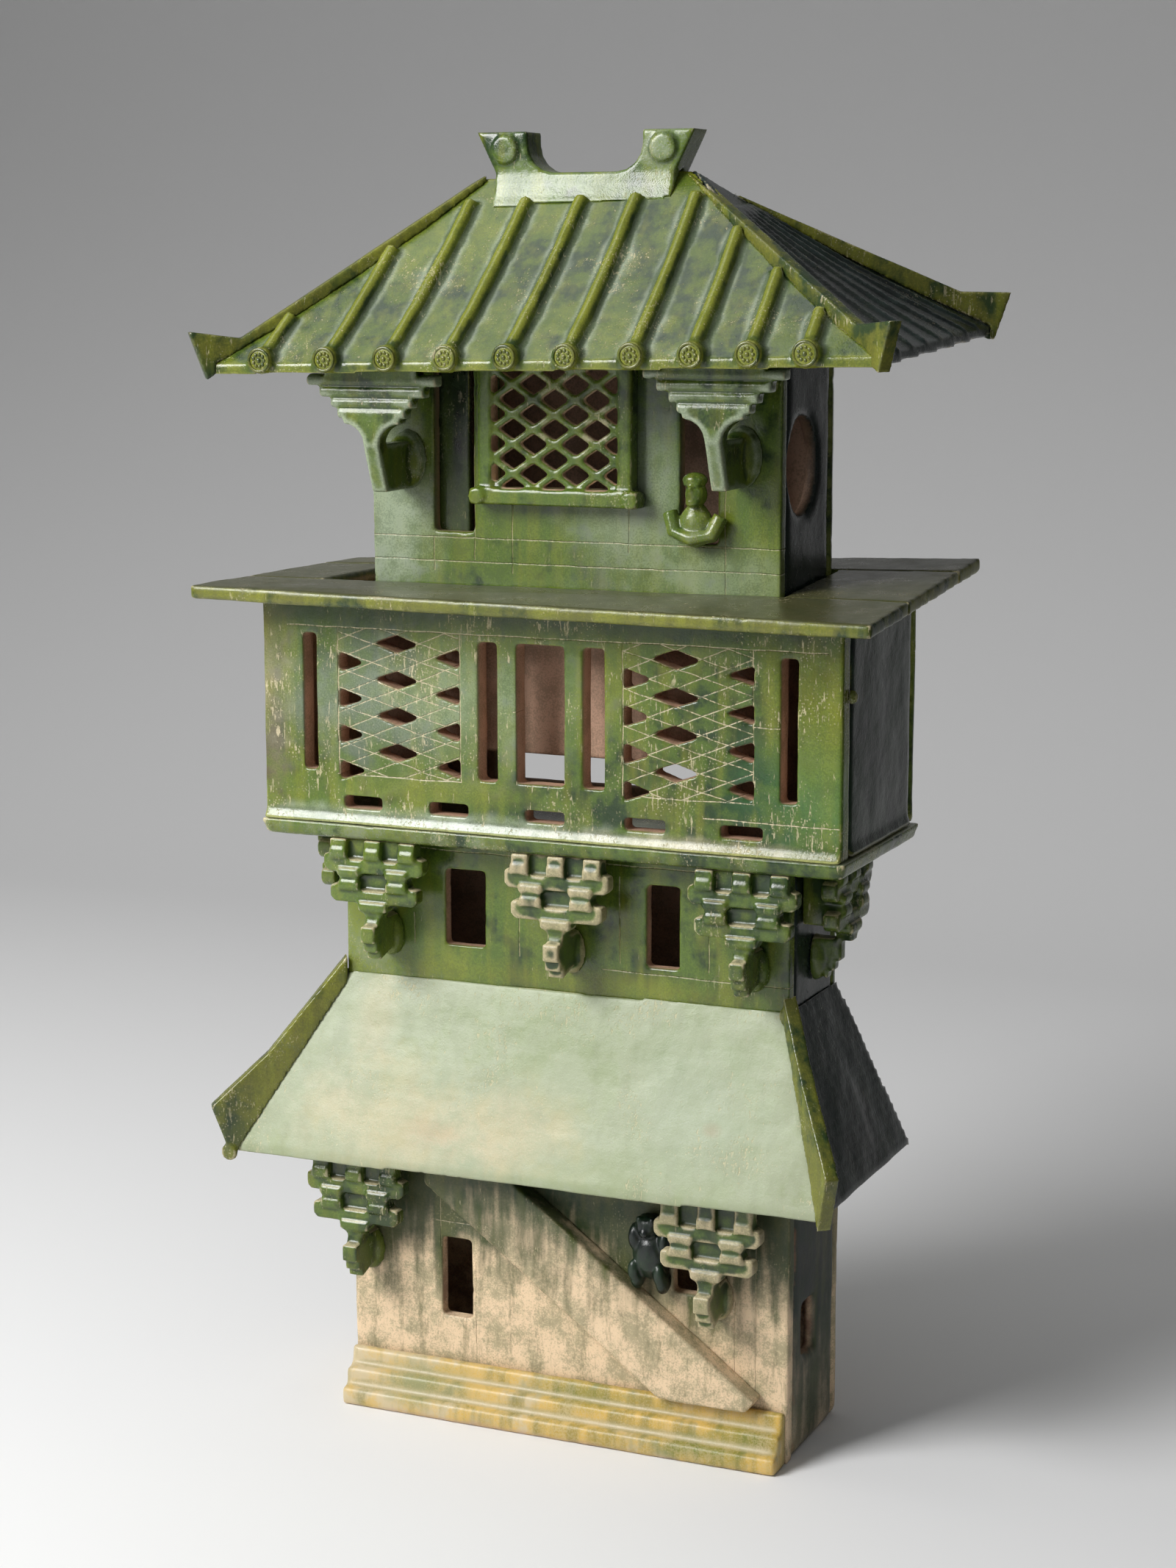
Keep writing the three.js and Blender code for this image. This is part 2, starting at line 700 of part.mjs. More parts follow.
// Second storey
const secondStorey = storey(lowerTower);
const secondFront = -secondHalfDepth;
const secondBox = {
  left: secondLeft, right: secondRight, front: secondFront, back: secondHalfDepth,
  bottom: secondFootZ, top: balconyFloorZ - gap,
};
const secondWindows = [
  { ...secondWindowLeft, x: secondLeft + secondWindowLeft.fromLeft },
  { ...secondWindowRight, x: secondRight - secondWindowRight.fromRight },
];
const secondCuts = secondWindows.map((window) => opening(window, secondFront, secondFront + wall));
addWalls(secondStorey, 'second', secondBox, 'green', (slab, side) => (
  side === 'front' ? cutAway(slab, secondCuts) : slab
));
const underFloor = balconyFloorZ - gap;
const secondBracketXs = {
  left: secondLeft + secondBracketFromLeft, middle: secondBracketMiddle,
  right: secondRight - secondBracketFromRight,
};
for (const [name, x] of Object.entries(secondBracketXs)) {
  const solid = bracket(x, secondFront - gap, bracketReach, underFloor, bracketNoseOut);
  add(secondStorey, `second_bracket_${name}`, solid, 'green');
}

// A side bracket has a bare slab between its front and the wall, and is turned to face outwards
const sideBracket = bracket(0, 0, bracketReach, underFloor, sideBracketNoseOut).add(block(
  -sideBracketSlab.halfWidth, sideBracketSlab.halfWidth, sideBracketSlab.back - bracketReach, 0,
  underFloor - sideBracketSlab.height, underFloor,
));
for (const [name, x, turn] of [
  ['left', secondLeft - gap, -Math.PI / 2],
  ['right', secondRight + gap, Math.PI / 2],
]) {
  const mesh = add(secondStorey, `second_side_bracket_${name}`, sideBracket, 'green');
  mesh.position.x = x;
  mesh.rotation.z = turn;
}

// Balcony: its walls stand clear of the upper storey on the inside
const upperLeft = upperShiftX - upperHalfWidth;
const upperRight = upperShiftX + upperHalfWidth;
const upperFront = upperShiftY - upperHalfDepth;
const upperBack = upperShiftY + upperHalfDepth;
const balcony = storey(lowerTower);
const balconyHalfWidth = baseHalfWidth + secondOut + balconyOut;
const balconyLeft = balconyShift - balconyHalfWidth;
const balconyRight = balconyShift + balconyHalfWidth;
const balconyHalfDepth = upperBack + balconyClearance + wall;
const balconyFront = -balconyHalfDepth;
const balconyFloorTop = balconyFloorZ + balconyFloorThickness;
const floorRing = (out, z) => [
  [balconyLeft - out, balconyFront - out, z], [balconyRight + out, balconyFront - out, z],
  [balconyRight + out, balconyHalfDepth + out, z], [balconyLeft - out, balconyHalfDepth + out, z],
];
const balconyFloor = loft([floorRing(0, balconyFloorZ), floorRing(lipOut, balconyFloorTop)]);
add(balcony, 'balcony_floor', balconyFloor, 'green');

// Rail slab: four planks round the hole that the upper storey stands in
const railHalfWidth = balconyHalfWidth + railOut;
const railHalfDepth = balconyHalfDepth + railOutDepth;
const rail = {
  left: railShift - railHalfWidth, right: railShift + railHalfWidth,
  front: -railHalfDepth, back: railHalfDepth,
};
const railHole = {
  left: upperLeft - railGapLeft, right: upperRight + railClearance,
  front: upperFront - railClearance, back: upperBack + railClearance,
};

function railHeight(x, y) {
  const across = (x - rail.left) / (rail.right - rail.left);
  const along = (y - rail.front) / (rail.back - rail.front);
  const front = railRise.frontLeft + (railRise.frontRight - railRise.frontLeft) * across;
  const back = railRise.backLeft + (railRise.backRight - railRise.backLeft) * across;
  return railZ + front + (back - front) * along;
}

function plank({ left, right, front, back }, lower, upper) {
  const ring = (z) => [[left, front], [right, front], [right, back], [left, back]].map(
    ([x, y]) => [x, y, railHeight(x, y) + z],
  );
  return loft([ring(lower), ring(upper)]);
}

const planks = {
  front: { ...rail, back: railHole.front },
  back: { ...rail, front: railHole.back },
  left: { ...rail, right: railHole.left, front: railHole.front + gap, back: railHole.back - gap },
  right: { ...rail, left: railHole.right, front: railHole.front + gap, back: railHole.back - gap },
};
const railSlab = storey(lowerTower);
for (const [side, outline] of Object.entries(planks)) {
  add(railSlab, `rail_slab_${side}`, plank(outline, 0, railThickness), 'olive');
}

// The balcony's walls end just under the planks
const plankClearances = Object.values(planks).map((outline) => (
  plank({ ...outline, front: outline.front - gap, back: outline.back + gap }, -gap, 2 * railOver)
));
const balconyTall = railZ + railOver;

// Half a diamond is cut at both sides of a lattice, between the whole ones in its middle
function diamondCut(x, z, leftHalf, rightHalf, height) {
  const half = height / 2;
  const outline = [[x - leftHalf, z], [x, z - half], [x + rightHalf, z], [x, z + half]];
  return uprightPlate(outline.filter(([px], i) => i % 2 || px !== x), wall * 4, [0, balconyFront, 0]);
}

const balconyInside = balconyFront + balconyFrontWall;
const balconyCuts = [
  ...balconySlots.map((slot) => (
    opening({ ...slot, z: balconySlotZ, height: balconySlotHeight }, balconyFront, balconyInside)
  )),
  ...balconyFootSlots.map((x) => opening({ ...footSlot, x }, balconyFront, balconyInside)),
];
for (const { x, middle } of [leftLattice, rightLattice]) {
  for (let row = 0; row < latticeDiamonds; row += 1) {
    const z = latticeTopZ - row * latticePitch;
    balconyCuts.push(diamondCut(middle, z, diamond.width / 2, diamond.width / 2, diamond.height));
    for (const side of [-1, 1]) {
      const along = side * latticeWidth / 2;
      const sideZ = z - sideDiamond.drop + along * latticeTilt;
      const [leftHalf, rightHalf] = side < 0 ? [0, sideDiamond.reach] : [sideDiamond.reach, 0];
      balconyCuts.push(diamondCut(x + along, sideZ, leftHalf, rightHalf, sideDiamond.height));
    }
  }
}
const balconyBackCut = opening(balconyBackOpening, balconyHalfDepth - wall, balconyHalfDepth);
const balconyBox = {
  left: balconyLeft, right: balconyRight, front: balconyFront, back: balconyHalfDepth,
  bottom: balconyFloorTop + gap, top: balconyTall, frontWall: balconyFrontWall,
};
addWalls(balcony, 'balcony', balconyBox, 'green', (slab, side) => {
  const trimmed = cutAway(slab, plankClearances);
  if (side === 'front') return cutAway(trimmed, balconyCuts);
  return side === 'back' ? trimmed.subtract(balconyBackCut) : trimmed;
});

// Knobs on the side walls
function knob(x, outward, { fromFront, drop }) {
  const y = balconyFront + fromFront;
  const z = railZ - drop;
  const inner = x - outward * farAway;
  const inside = block(Math.min(x, inner), Math.max(x, inner), -farAway, farAway, -farAway, farAway);
  return bead([x, y, z], [knobRadius, knobRadius, knobRadius]).subtract(inside);
}
add(balcony, 'balcony_knob_left', knob(balconyLeft - gap, -1, leftKnob), 'olive');
add(balcony, 'balcony_knob_right', knob(balconyRight + gap, 1, rightKnob), 'olive');

// Main roof
const roofEave = {
  left: roofEaveLeft, right: roofEaveRight, halfDepth: roofEaveHalfDepth, z: roofEaveZ,
};
const roofTop = { left: roofRidgeLeft, right: roofRidgeRight, halfDepth: gap, z: roofRidgeZ };
const roofSurface = roofRings(roofEave, roofTop, roofSteps, roofSag, roofLeanX, roofLeanY);
const underRoof = under(roofSurface, -roofThickness - gap);
const mainRoof = storey(upperTower);

// Height of the front or back surface over a plan point.
function roofHeight(x, y) {
  const t = (roofEaveHalfDepth - Math.abs(y)) / (roofEaveHalfDepth - gap);
  const height = roofEaveZ + (roofRidgeZ - roofEaveZ) * t - 4 * roofSag * t * (1 - t);
  return height + roofLeanX * x + roofLeanY * y;
}

// Where a rib that starts at x on the eave has to stop short of the hip.
function ribEnd(x) {
  const lean = (ribTopScale - 1) * x + ribTopShift;
  const left = (x - roofEaveLeft - ribHipClearance) / (roofRidgeLeft - roofEaveLeft - lean);
  const right = (roofEaveRight - x - ribHipClearance) / (roofEaveRight - roofRidgeRight + lean);
  const share = Math.min(left, right, 1 - ribTopY / roofEaveHalfDepth);
  return { x: x + lean * share, y: roofEaveHalfDepth * (1 - share) };
}

function tileRibs(front) {
  const sign = front ? -1 : 1;
  const eaveY = sign * roofEaveHalfDepth;
  return ribXs.flatMap((x) => {
    const end = ribEnd(x);
    const points = [0, 1, 2, 3].map((k) => {
      const y = eaveY + (sign * end.y - eaveY) * k / 3;
      const px = x + (end.x - x) * k / 3;
      return [px, y, roofHeight(px, y) + ribLift];
    });
    const faceY = eaveY + sign * discThickness;
    const z = roofHeight(x, eaveY) + ribLift;
    const backY = eaveY - sign * discThickness;
    return [
      rod(points, ribRadius, ribSides),
      disc(x, Math.min(faceY, backY), Math.max(faceY, backY), z, discRadius),
    ];
  });
}

// Thin ribs that fan out over a side from its top to its eave.
function sideRibs(right) {
  const eaveX = right ? roofEaveRight : roofEaveLeft;
  const topX = right ? roofRidgeRight : roofRidgeLeft;
  const solids = [];
  for (let k = 0; k < sideRibCount; k += 1) {
    const spread = 2 * (k + 1) / (sideRibCount + 1) - 1;
    const points = [0, 1, 2].map((step) => {
      const t = 0.01 + step * (sideRibReach - 0.01) / 2;
      const x = eaveX + (topX - eaveX) * t;
      const y = spread * roofEaveHalfDepth * (1 - t);
      const height = roofEaveZ + (roofRidgeZ - roofEaveZ) * t - 4 * roofSag * t * (1 - t);
      return [x, y, height + roofLeanX * x + roofLeanY * y];
    });
    solids.push(rod(points, sideRibRadius, sideRibSides));
  }
  return solids;
}

// The ridge's end blocks lean outwards and fall to its valley in a hollow curve
const ridgeLeft = roofRidgeLeft - ridgeOutLeft;
const ridgeRight = roofRidgeRight + ridgeOutRight;
function ridgeEndOutline(outer, sign) {
  const inner = outer + sign * ridgeEndWidth;
  const foot = outer + sign * ridgeEndLean;
  const half = [
    [foot, ridgeValleyZ - ridgeFlare.drop], [foot, ridgeValleyZ], [outer, ridgeTopZ], [inner, ridgeTopZ],
  ];
  for (let k = 0; k <= curveSteps; k += 1) {
    const angle = Math.PI / 2 * k / curveSteps;
    half.push([
      inner + sign * ridgeCurve * (1 - Math.cos(angle)),
      ridgeValleyZ + ridgeCurve * (1 - Math.sin(angle)),
    ]);
  }
  half.push([inner + sign * ridgeCurve, ridgeValleyZ - ridgeFlare.drop]);
  return half;
}

// The ridge's strip flares in a hollow curve down to the roof on both sides
function ridgeFlareOutline(clearance) {
  const half = ridgeThickness / 2 + clearance;
  const reach = ridgeFlare.reach + clearance;
  const side = [];
  for (let k = 0; k <= curveSteps; k += 1) {
    const t = k / curveSteps;
    const along = half + (reach - half) * t ** ridgeFlare.power;
    side.push([along, ridgeValleyZ + clearance - ridgeFlare.drop * t]);
  }
  side.push([reach, ridgeValleyZ - clearance - ridgeFlare.drop]);
  return [...side, ...side.map(([along, z]) => [-along, z]).reverse()];
}

function ridgeSolid(clearance) {
  const ends = [[ridgeLeft, 1], [ridgeRight, -1]];
  const thickness = ridgeThickness + 2 * clearance;
  const solids = ends.map(([outer, sign]) => (
    uprightPlate(ridgeEndOutline(outer, sign).reverse(), thickness)
  ));
  const [left, right] = ends.map(([outer, sign]) => outer + sign * ridgeEndLean - sign * clearance);
  solids.push(sidePlate(ridgeFlareOutline(clearance), right - left, (left + right) / 2));
  return join(solids);
}
const ridgeBody = [ridgeSolid(0)];
for (const x of [ridgeLeft + ridgeDiscInset, ridgeRight - ridgeDiscInset]) {
  const reach = ridgeThickness / 2 + ridgeDiscThickness;
  ridgeBody.push(disc(x, -reach, reach, ridgeDiscZ, ridgeDiscRadius));
}
add(mainRoof, 'main_ridge', join(ridgeBody).subtract(under(roofSurface, gap)), 'olive');

// The hip fins end against the ridge, and the ribs against both
const ridgeClearance = ridgeSolid(gap);
const ribLimits = [ridgeClearance];
cornerNames.forEach((name, corner) => {
  const fin = roofFins[name];
  const solid = hipFin(roofSurface, corner, fin).subtract(ridgeClearance);
  add(mainRoof, `roof_hip_fin_${name}`, solid, 'olive');
  ribLimits.push(hipPlate(roofSurface, corner, fin, fin.thickness + 2 * gap));
});
for (const side of sides) {
  const ribs = side === 'front' || side === 'back' ? tileRibs(side === 'front') : sideRibs(side === 'right');
  const slab = slope(roofSurface, side, roofThickness);
  add(mainRoof, `roof_${side}`, slab.add(cutAway(join(ribs), ribLimits)), 'green');
}

// Upper storey: its walls rise to the underside of the roof
const upperStorey = storey(upperTower);
const upperFootZ = balconyFloorTop + gap;
const upperTall = roofRidgeZ + upperTallOverRidge;
const upperBox = {
  left: upperLeft, right: upperRight, front: upperFront, back: upperBack,
  bottom: upperFootZ, top: upperTall,
};
const notchBox = { ...upperNotch, z: upperFootZ - 1, height: upperNotch.height + 1 };
const frontCuts = [
  opening(notchBox, upperFront, upperFront + wall),
  opening({ ...upperDoor, height: upperTall }, upperFront, upperFront + wall),
  opening(windowFrame, upperFront, upperFront + wall),
  opening({ ...upperSideWindow, height: upperTall }, upperFront, upperFront + wall),
];

function ovalCut() {
  const geometry = new THREE.CylinderGeometry(1, 1, wall * 3, ovalHole.sides);
  geometry.rotateZ(Math.PI / 2);
  geometry.scale(1, ovalHole.halfWidth, ovalHole.halfHeight);
  geometry.translate(upperRight - wall / 2, ovalHole.y, ovalHole.z);
  return toSolid(geometry);
}
const upperCuts = {
  front: frontCuts,
  back: [opening(notchBox, upperBack - wall, upperBack)],
  right: [ovalCut()],
};
addWalls(upperStorey, 'upper', upperBox, 'green', (slab, side) => (
  cutAway(slab.intersect(underRoof), upperCuts[side] ?? [])
));

// The door leaf stands open inside its doorway and leaves a slit at one side
const leafRight = upperDoor.x + upperDoor.width / 2 - upperDoorLeaf.slit;
const leafBack = upperFront + wall + gap;
add(upperStorey, 'upper_door_leaf', block(
  leafRight - upperDoorLeaf.width, leafRight, leafBack, leafBack + upperDoorLeaf.thickness,
  upperDoor.z - upperDoorLeaf.lap, upperTall,
).intersect(underRoof), 'green');

// Lattice window: a frame in front of the wall, its foot bar longer and ended with knobs
function latticeWindow() {
  const { x, z, width, height, proud, bar, foot, overhang } = windowFrame;
  const face = upperFront - gap;
  const [left, right] = [x - width / 2, x + width / 2];
  const across = width / windowDiamondsAcross;
  const up = height / windowDiamondsUp;
  const lean = Math.hypot(across, up);
  const thick = windowBar * lean / across / 2;
  const footFace = face - proud - windowFootProud;
  const solids = [
    block(left - bar, left, face - proud, face, z - foot, z + height + bar),
    block(right, right + bar, face - proud, face, z - foot, z + height + bar),
    block(left - bar, right + bar, face - proud, face, z + height, z + height + bar),
    block(left - bar - overhang, right + bar + overhang, footFace, face, z - foot, z),
  ];
  const room = block(left, right, face - proud, face, z, z + height);
  const rows = windowDiamondsAcross + windowDiamondsUp;
  for (let k = -rows; k <= rows; k += 1) {
    for (const sign of [-1, 1]) {
      const startZ = z + k * up;
      const endZ = startZ + sign * windowDiamondsAcross * up;
      const reachesIn = Math.max(startZ, endZ) > z && Math.min(startZ, endZ) < z + height;
      if (reachesIn) {
        const strip = [
          [left, startZ - thick], [right, endZ - thick], [right, endZ + thick], [left, startZ + thick],
        ];
        const middle = face - proud + windowBarInset + windowBarDepth / 2;
        solids.push(uprightPlate(strip, windowBarDepth, [0, middle, 0]).intersect(room));
      }
    }
  }
  for (const knobX of [left - bar, right + bar]) {
    solids.push(disc(
      knobX, face - proud - windowKnobProud, face, z - foot / 2, windowKnobRadius, windowKnobSides,
    ));
  }
  return join(solids);
}
add(upperStorey, 'upper_lattice_window', latticeWindow(), 'green');

// Leaning figure in front of the sill of the right opening
const figureSeat = [upperSideWindow.x, upperFront - gap, upperSideWindow.z];
const figureArms = rod(
  figureArmLine.map((point) => point.map((value, axis) => value + figureSeat[axis])),
  figureArmRadius, figureArmSides,
).intersect(inFront(figureSeat[1]));
add(upperStorey, 'upper_figure', modelled(figureParts, figureSeat).add(figureArms), 'green');

// A tier with a rounded front, which laps the tier above it behind.
function rollSolid(x, width, y0, y1, bottom, top) {
  const edge = upperBracketEdge;
  const outline = [
    [y1, bottom], [y0 + edge, bottom], [y0, bottom + edge], [y0, top - edge], [y0 + edge, top],
    [y0 + 2 * edge, top], [y0 + 2 * edge, top + bracketLap], [y1, top + bracketLap],
  ];
  return sidePlate(outline, width, x);
}

// Stepped brackets under the front eaves, their heads rising to the roof's underside
for (const [name, { x, z }] of Object.entries({ left: upperBracketLeft, right: upperBracketRight })) {
  const face = upperFront - gap;
  const y0 = face - upperBracketReach;
  const y1 = y0 + upperBracketDepth;
  const solids = [block(x - upperBracketHead / 2, x + upperBracketHead / 2, y0, y1, z, upperTall)];
  let bottom = z;
  for (const { width, height } of upperBracketTiers) {
    solids.push(rollSolid(x, width, y0, y1, bottom - height, bottom));
    bottom -= height;
  }
  solids.push(funnelSolid(x, y0, y1, bottom, upperBracketFunnel));
  solids.push(leaningArm(x, y0, face, bottom - upperBracketFunnel.height, upperBracketArm));
  add(upperStorey, `upper_bracket_${name}`, join(solids).intersect(underRoof), 'green');
}

export default tower;
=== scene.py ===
import json
import math
from dataclasses import dataclass
from functools import partialmethod

import bmesh
import bpy
from bpy.props import FloatProperty, FloatVectorProperty, IntProperty, PointerProperty
from bpy.types import Operator, Panel, PropertyGroup
from mathutils import Matrix, Vector


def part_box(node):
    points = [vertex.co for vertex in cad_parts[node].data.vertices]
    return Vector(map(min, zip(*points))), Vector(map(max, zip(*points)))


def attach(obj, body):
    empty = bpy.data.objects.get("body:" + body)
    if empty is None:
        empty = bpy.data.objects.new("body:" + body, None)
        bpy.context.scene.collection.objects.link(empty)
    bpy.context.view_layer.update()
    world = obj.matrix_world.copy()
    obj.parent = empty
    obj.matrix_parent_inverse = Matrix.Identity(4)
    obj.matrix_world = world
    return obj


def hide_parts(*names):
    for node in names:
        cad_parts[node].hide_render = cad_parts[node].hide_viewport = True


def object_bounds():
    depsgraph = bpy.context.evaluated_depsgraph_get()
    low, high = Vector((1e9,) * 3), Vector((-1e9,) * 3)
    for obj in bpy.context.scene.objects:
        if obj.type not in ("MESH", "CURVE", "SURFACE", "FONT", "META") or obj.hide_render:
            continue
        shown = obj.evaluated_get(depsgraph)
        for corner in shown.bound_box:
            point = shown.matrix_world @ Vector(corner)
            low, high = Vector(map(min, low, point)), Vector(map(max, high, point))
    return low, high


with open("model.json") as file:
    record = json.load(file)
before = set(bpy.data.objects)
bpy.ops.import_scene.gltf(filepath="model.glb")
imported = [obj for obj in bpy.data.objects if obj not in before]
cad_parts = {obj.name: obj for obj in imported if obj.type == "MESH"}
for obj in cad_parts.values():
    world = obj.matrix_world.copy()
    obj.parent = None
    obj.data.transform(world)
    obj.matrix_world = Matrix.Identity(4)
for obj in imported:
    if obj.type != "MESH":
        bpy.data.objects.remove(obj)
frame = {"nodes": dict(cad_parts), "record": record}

bl_info = {
    "name": "Pottery watchtower",
    "version": (1, 2, 0),
    "blender": (4, 5, 0),
    "location": "View3D > Sidebar > Watchtower",
    "description": "Works and glazes the clay of a pottery watchtower and sets up its studio",
    "category": "Object",
}

CAD_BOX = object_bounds()
FRAME_HEIGHT_PX = 2133
SENSOR_MM = 36.0

# Half the width of a scored line, and how softly it ends
LINE_SOFT = 0.0004

# The sky is brightest towards the lamps, and this dark, as a share, on the other side
SKY_TOWARDS = (-0.75, -0.5, 0.45)
SKY_FADE = (-0.5, 0.6)
DARK_SKY = 0.3
# Where the backdrop's painted shade greys it towards its top, and where it darkens it to the right, out of
# the picture
BACK_FADE = (0.2, 3.4)
SIDE_FADE = (0.62, 1.5)
SWEEP_STEPS = 24
SWEEP_ROUGHNESS = 0.8
SKY_COLOUR = (0.8, 0.8, 0.8, 1.0)
# Name, place, power, width and height of each lamp; they all aim at the tower's middle
LAMPS = (
    ("key_lamp", (-1.45, -2.0, 2.15), "lamp_power", 1.4, 1.4),
    ("side_lamp", (-1.2, -2.7, 0.9), "side_power", 0.4, 1.6),
    ("top_lamp", (-0.9, -0.2, 2.9), "top_power", 1.0, 1.0),
)
LAMP_AIM = (0.0, 0.0, 0.5)

BODY_OF = {
    node: body for body, nodes in frame["record"]["behaviour"]["bodies"].items() for node in nodes
}
SLOT_OF = {part["node"]: part["material_slot"] for part in frame["record"]["subparts"]}


# Node trees

class Sock:
    """A socket of a node tree that can be used in sums."""

    def __init__(self, net, socket):
        self.net = net
        self.socket = socket

    def math(self, operation, *others, swap=False):
        node = self.net.tree.nodes.new("ShaderNodeMath")
        node.operation = operation
        values = (*others, self) if swap else (self, *others)
        for index, value in enumerate(values):
            self.net.put(node.inputs[index], value)
        return Sock(self.net, node.outputs[0])

    __add__ = partialmethod(math, "ADD")
    __radd__ = partialmethod(math, "ADD", swap=True)
    __sub__ = partialmethod(math, "SUBTRACT")
    __rsub__ = partialmethod(math, "SUBTRACT", swap=True)
    __mul__ = partialmethod(math, "MULTIPLY")
    __rmul__ = partialmethod(math, "MULTIPLY", swap=True)
    __truediv__ = partialmethod(math, "DIVIDE")
    __rtruediv__ = partialmethod(math, "DIVIDE", swap=True)

    def clamped(self):
        return self.math("MAXIMUM", 0.0).math("MINIMUM", 1.0)


class Net:
    """Builds the nodes of one tree."""

    def __init__(self, tree):
        self.tree = tree

    def put(self, socket, value):
        if isinstance(value, Sock):
            self.tree.links.new(value.socket, socket)
        else:
            socket.default_value = value

    def node(self, kind, settings=None, output=0, **inputs):
        node = self.tree.nodes.new(kind)
        for key, value in (settings or {}).items():
            setattr(node, key, value)
        for key, value in inputs.items():
            name = key.replace("_", " ")
            self.put(next(s for s in node.inputs if s.name == name and s.enabled), value)
        return Sock(self, [s for s in node.outputs if s.enabled][output])

    def part(self, vector, axis):
        return self.node("ShaderNodeSeparateXYZ", output=axis, Vector=vector)

    def vector(self, operation, first, second=None):
        node = self.tree.nodes.new("ShaderNodeVectorMath")
        node.operation = operation
        self.put(node.inputs[0], first)
        if second is not None:
            self.put(node.inputs["Scale" if operation == "SCALE" else 1], second)
        return Sock(self, next(s for s in node.outputs if s.enabled))

    def ramp(self, value, low, high):
        settings = {"interpolation_type": "SMOOTHSTEP"}
        return self.node("ShaderNodeMapRange", settings, Value=value, From_Min=low, From_Max=high)

    def band(self, value, low, high):
        """1 where the value is between two limits, fading to 0 outside them."""
        above = self.ramp(value, low - LINE_SOFT, low + LINE_SOFT)
        return above * self.ramp(value, high + LINE_SOFT, high - LINE_SOFT)

    def noise(self, place, scale, detail=3.0, roughness=0.5, seed=None):
        inputs = {"Vector": place, "Scale": scale, "Detail": detail, "Roughness": roughness}
        if seed is None:
            return self.node("ShaderNodeTexNoise", **inputs)
        return self.node("ShaderNodeTexNoise", {"noise_dimensions": "4D"}, W=seed, **inputs)


class Shader(Net):
    """Builds one material's nodes."""

    def __init__(self, name):
        self.material = bpy.data.materials.new(name)
        self.material.use_nodes = True
        super().__init__(self.material.node_tree)
        self.principled = self.tree.nodes["Principled BSDF"]

    def place(self):
        return self.node("ShaderNodeTexCoord", output=3)

    def attribute(self, name):
        return self.node("ShaderNodeAttribute", {"attribute_name": name}, output=2)

    def mix(self, factor, first, second):
        return self.node("ShaderNodeMix", {"data_type": "RGBA"}, Factor=factor, A=first, B=second)

    def finish(self, colour, roughness, height, depth):
        bump = self.node("ShaderNodeBump", Strength=1.0, Distance=depth, Height=height)
        self.put(self.principled.inputs["Base Color"], colour)
        self.put(self.principled.inputs["Roughness"], roughness)
        self.put(self.principled.inputs["Normal"], bump)
        return self.material


def geometry_tree(name, floats, whole=(), vectors=()):
    """A geometry node tree with named inputs, and the socket of each input."""
    kinds = {"Geometry": "Geometry", "Material": "Material"}
    for labels, kind in ((floats, "Float"), (whole, "Int"), (vectors, "Vector")):
        kinds.update(dict.fromkeys(labels, kind))
    tree = bpy.data.node_groups.new(name, "GeometryNodeTree")
    for label, kind in kinds.items():
        tree.interface.new_socket(name=label, in_out="INPUT", socket_type=f"NodeSocket{kind}")
    tree.interface.new_socket(name="Geometry", in_out="OUTPUT", socket_type="NodeSocketGeometry")
    net = Net(tree)
    given = tree.nodes.new("NodeGroupInput")
    return net, {label: Sock(net, given.outputs[label]) for label in kinds}


def stored(net, shape, label, value):
    """A shape with a value noted on its points."""
    return net.node(
        "GeometryNodeStoreNamedAttribute", {"data_type": "FLOAT", "domain": "POINT"},
        Geometry=shape, Name=label, Value=value,
    )


def close_tree(net, shape, material):
    """Ends a tree with plain, glazed geometry."""
    real = net.node("GeometryNodeRealizeInstances", Geometry=shape)
    painted = net.node("GeometryNodeSetMaterial", Geometry=real, Material=material)
    out = net.tree.nodes.new("NodeGroupOutput")
    net.put(out.inputs[0], painted)
    return net.tree


def use_tree(piece, tree, values):
    """Puts a tree on a piece as a modifier, with its inputs set by their identifiers."""
    modifier = piece.modifiers.new(tree.name, "NODES")
    modifier.node_group = tree
    for item in tree.interface.items_tree:
        if item.item_type == "SOCKET" and item.in_out == "INPUT" and item.name in values:
            modifier[item.identifier] = values[item.name]


# Sizes and colours

def number(name, description, default, **more):
    return FloatProperty(name=name, description=description, default=default, **more)


def length(name, description, default):
    return number(name, description, default, unit="LENGTH")


def angle(name, description, degrees):
    return number(name, description, math.radians(degrees), subtype="ANGLE")


def colour(name, description, default):
    return FloatVectorProperty(
        name=name, description=description, subtype="COLOR", size=3, min=0, max=1, default=default,
    )


class WatchtowerStudio(PropertyGroup):
    """The studio's sizes."""

    floor_size: length("Floor size", "Side of the floor", 14.0)
    sweep_start: length("Sweep start", "Where the backdrop starts to rise", 1.6)
    sweep_radius: length("Sweep radius", "Bend of the backdrop", 1.8)
    lamp_power: number("Lamp power", "Power of the main lamp", 105.0)
    side_power: number("Side power", "Power of the side lamp", 3.0)
    top_power: number("Top power", "Power of the lamp overhead", 6.0)
    sky: number("Sky", "Strength of the light from all round", 0.4)
    floor_tone: number("Floor tone", "Grey of the floor in front", 0.83)
    wall_tone: number("Wall tone", "Grey of the backdrop's top", 0.42)
    # The wall and side tones paint shade on the backdrop
    side_tone: number("Side tone", "Grey of the right side", 0.1)
    lens_px: number("Lens", "Focal length in photograph pixels", 3993.4)
    yaw: angle("Yaw", "Turn of the camera", 23.7)
    pitch: angle("Pitch", "Fall of the camera", 10.1)
    roll: angle("Roll", "Tilt of the camera", -0.1)
    stand: FloatVectorProperty(
        name="Camera place", description="Where the camera stands", size=3, subtype="TRANSLATION",
        default=(0.935, -2.1433, 0.9433),
    )


